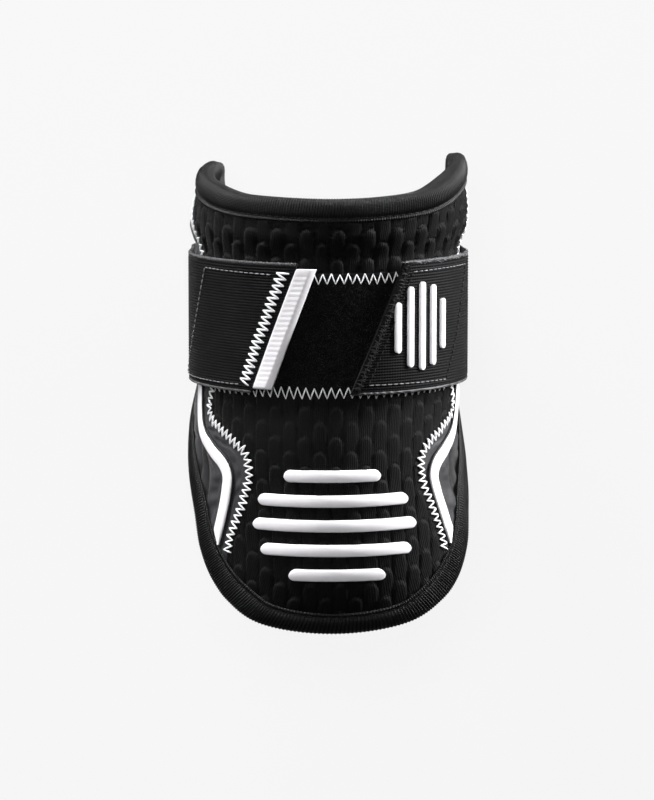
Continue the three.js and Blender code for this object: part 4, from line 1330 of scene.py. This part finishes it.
# %% Straight stitches boxed on the strap's two ends, in grey and in black thread
grey_lines = [
    [beyond_left(8, 20.6), (-36, 20.9), (-46, 21.0), (-56.3, 21.1)],
    [(-56.3, 21.1), (-61.6, 6.0), (-67.6, -8.1), (-77.5, -22.6)],
    [beyond_left(6, -22.3), (-44, -22.4), (-60, -22.5), (-77.5, -22.6)],
    [beyond_right(5, 21.0), (40, 21.2), (54, 21.2), (65.7, 21.0)],
    [beyond_right(5, -21.5), (24, -21.6), (38, -21.8), (49.3, -22)],
]
black_lines = [
    [(65.7, 21.0), (61.9, 11), (56.9, -5), (49.3, -22)],
    [beyond_right(5, y) for y in (-21.5, 0, 21)],
]
boxed = lambda lines: [dashes(path(points, PITCHES["box"]), 0.12, on_strap) for points in lines]
strap_dashes = stitch("strap_box_stitches", boxed(grey_lines), grey_thread, 0.21, 0.12)
dark_dashes = stitch("strap_dark_stitches", boxed(black_lines), black_thread, 0.2, 0.12)

# %% Dense black tacking over the hem
random = np.random.default_rng(21)
tacks = 150
y = np.linspace(-23.5, 23.5, tacks)
spots = flat((right_end(y) + 1.6 + random.uniform(-0.9, 0.9, tacks)) * SHELL / SEAT, y)
tack = beside(spots, headings(spots), 0.9 * by_turns(tacks))
points = lay(tack, over_patches + STRAP + 0.45)
rows = [(points[:-1], points[1:], outward_at(tack[:-1]))]
hem_tacks = stitch("hem_tacking", rows, black_thread, 0.16, 0.2)

# %% Seam that holds the binding down, on both of its faces
line = evenly(outline, 0, 1, round(total / PITCHES["binding"]))
direction = headings(line)
outer_seam = dashes(beside(line, direction, -5.75), 0.55, on_wall, gap=0.3)
starts, ends, outward = dashes(beside(line, direction, -5.6), -WALL - 0.95, on_wall, gap=0.3)
rows = [outer_seam, (starts, ends, -outward)]
binding_seam = stitch("binding_seam", rows, black_thread, 0.24, 0.1)

# %% Frayed yarns along the top of the strap's right end
random = np.random.default_rng(57)
count = 170
s = right_end(STRAP_WIDTH / 2) - 16.9 + random.uniform(17, 57, count)
spots = flat(s * SHELL / SEAT, random.uniform(24.0, 25.1, count))
reach = flat(random.uniform(-2.2, 2.2, count), random.uniform(-0.7, 0.9, count))
starts = lay(spots, on_strap(spots) - random.uniform(0, 1.2, count))
ends = lay(spots + reach, on_strap(spots) + random.uniform(-0.9, 0.35, count))
rows = [(starts, ends, outward_at(spots))]
frays = stitch("strap_frayed_yarns", rows, grey_thread, 0.09, 0.25, sides=4, steps=5)

# %% [markdown]
# ## Loops of the pile
#
# Looped pile looks soft because thousands of thin loops stand up from it at all angles. The same tree
# makes them: each one is a short arched thread, thin and tall, laid in a random direction.

# %% Pile loops
random = np.random.default_rng(33)
count = 4200
spots = flat(random.uniform(-24, 24, count), random.uniform(-22.5, 18.5, count))
angles = random.uniform(0, 2 * math.pi, count)
runs = flat(np.cos(angles), np.sin(angles)) * random.uniform(0.5, 1.1, count)[:, None]
starts, ends = (lay(spots + k * runs, GAP + 0.72 + random.uniform(0, 0.08, count)) for k in (-0.5, 0.5))
loops = stitch("pile_loops", [(starts, ends, outward_at(spots))], pile, 0.08, 0.38, sides=3, steps=5)

# %% [markdown]
# ## Hand the pieces to the frame
#
# The guard has no joints, so every piece rides on the one body. Each dressed piece stands for its plain
# CAD node, which is hidden.

# %% Ride and replace
dressed = [
    (face_cover, "knit", ["face_cover"]),
    (pad, "lining", ["inner_pad"]),
    (binding, "binding", ["edge_binding"]),
    (strap, "webbing", ["strap_band"]),
    (loop_panel, "fastener", ["loop_panel"]),
    (tab, "rubber", ["pull_tab"]),
    (face_bars, "rubber", [f"face_bar_{i + 1}" for i in range(BARS)]),
    (strap_bars, "rubber", [f"strap_bar_{i + 1}" for i in range(BARS)]),
]
for side in SIGNS:
    dressed.append((wings[side], "wing", [f"wing_cover_{side}"]))
    dressed.append((hooks[side], "fastener", [f"hook_patch_{side}"]))
    dressed.append((stripes[side], "rubber", [f"wing_stripe_{side}"]))
threads = [seam_zigzag, end_zigzag, panel_zigzag, strap_dashes, dark_dashes, hem_tacks]
dressed += [(made, "webbing", []) for made in [selvedges, hem, frays, *threads]]
dressed += [(stripe_edge_shade_cord, "binding", []), (binding_seam, "binding", []), (loops, "fastener", [])]
for made, slot, nodes in dressed:
    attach(made, "root")
    if nodes:
        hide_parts(*nodes)
strap_long = lambda y: 2 * BACK - strap_run("left", left_end(y)) - strap_run("right", right_end(-y))
cut, mean = strap_long(STRAP_WIDTH / 2) / 1000, strap_long(0.0) / 1000
print(len(dressed), "pieces, strap cut", round(cut * 1000), "mm long")
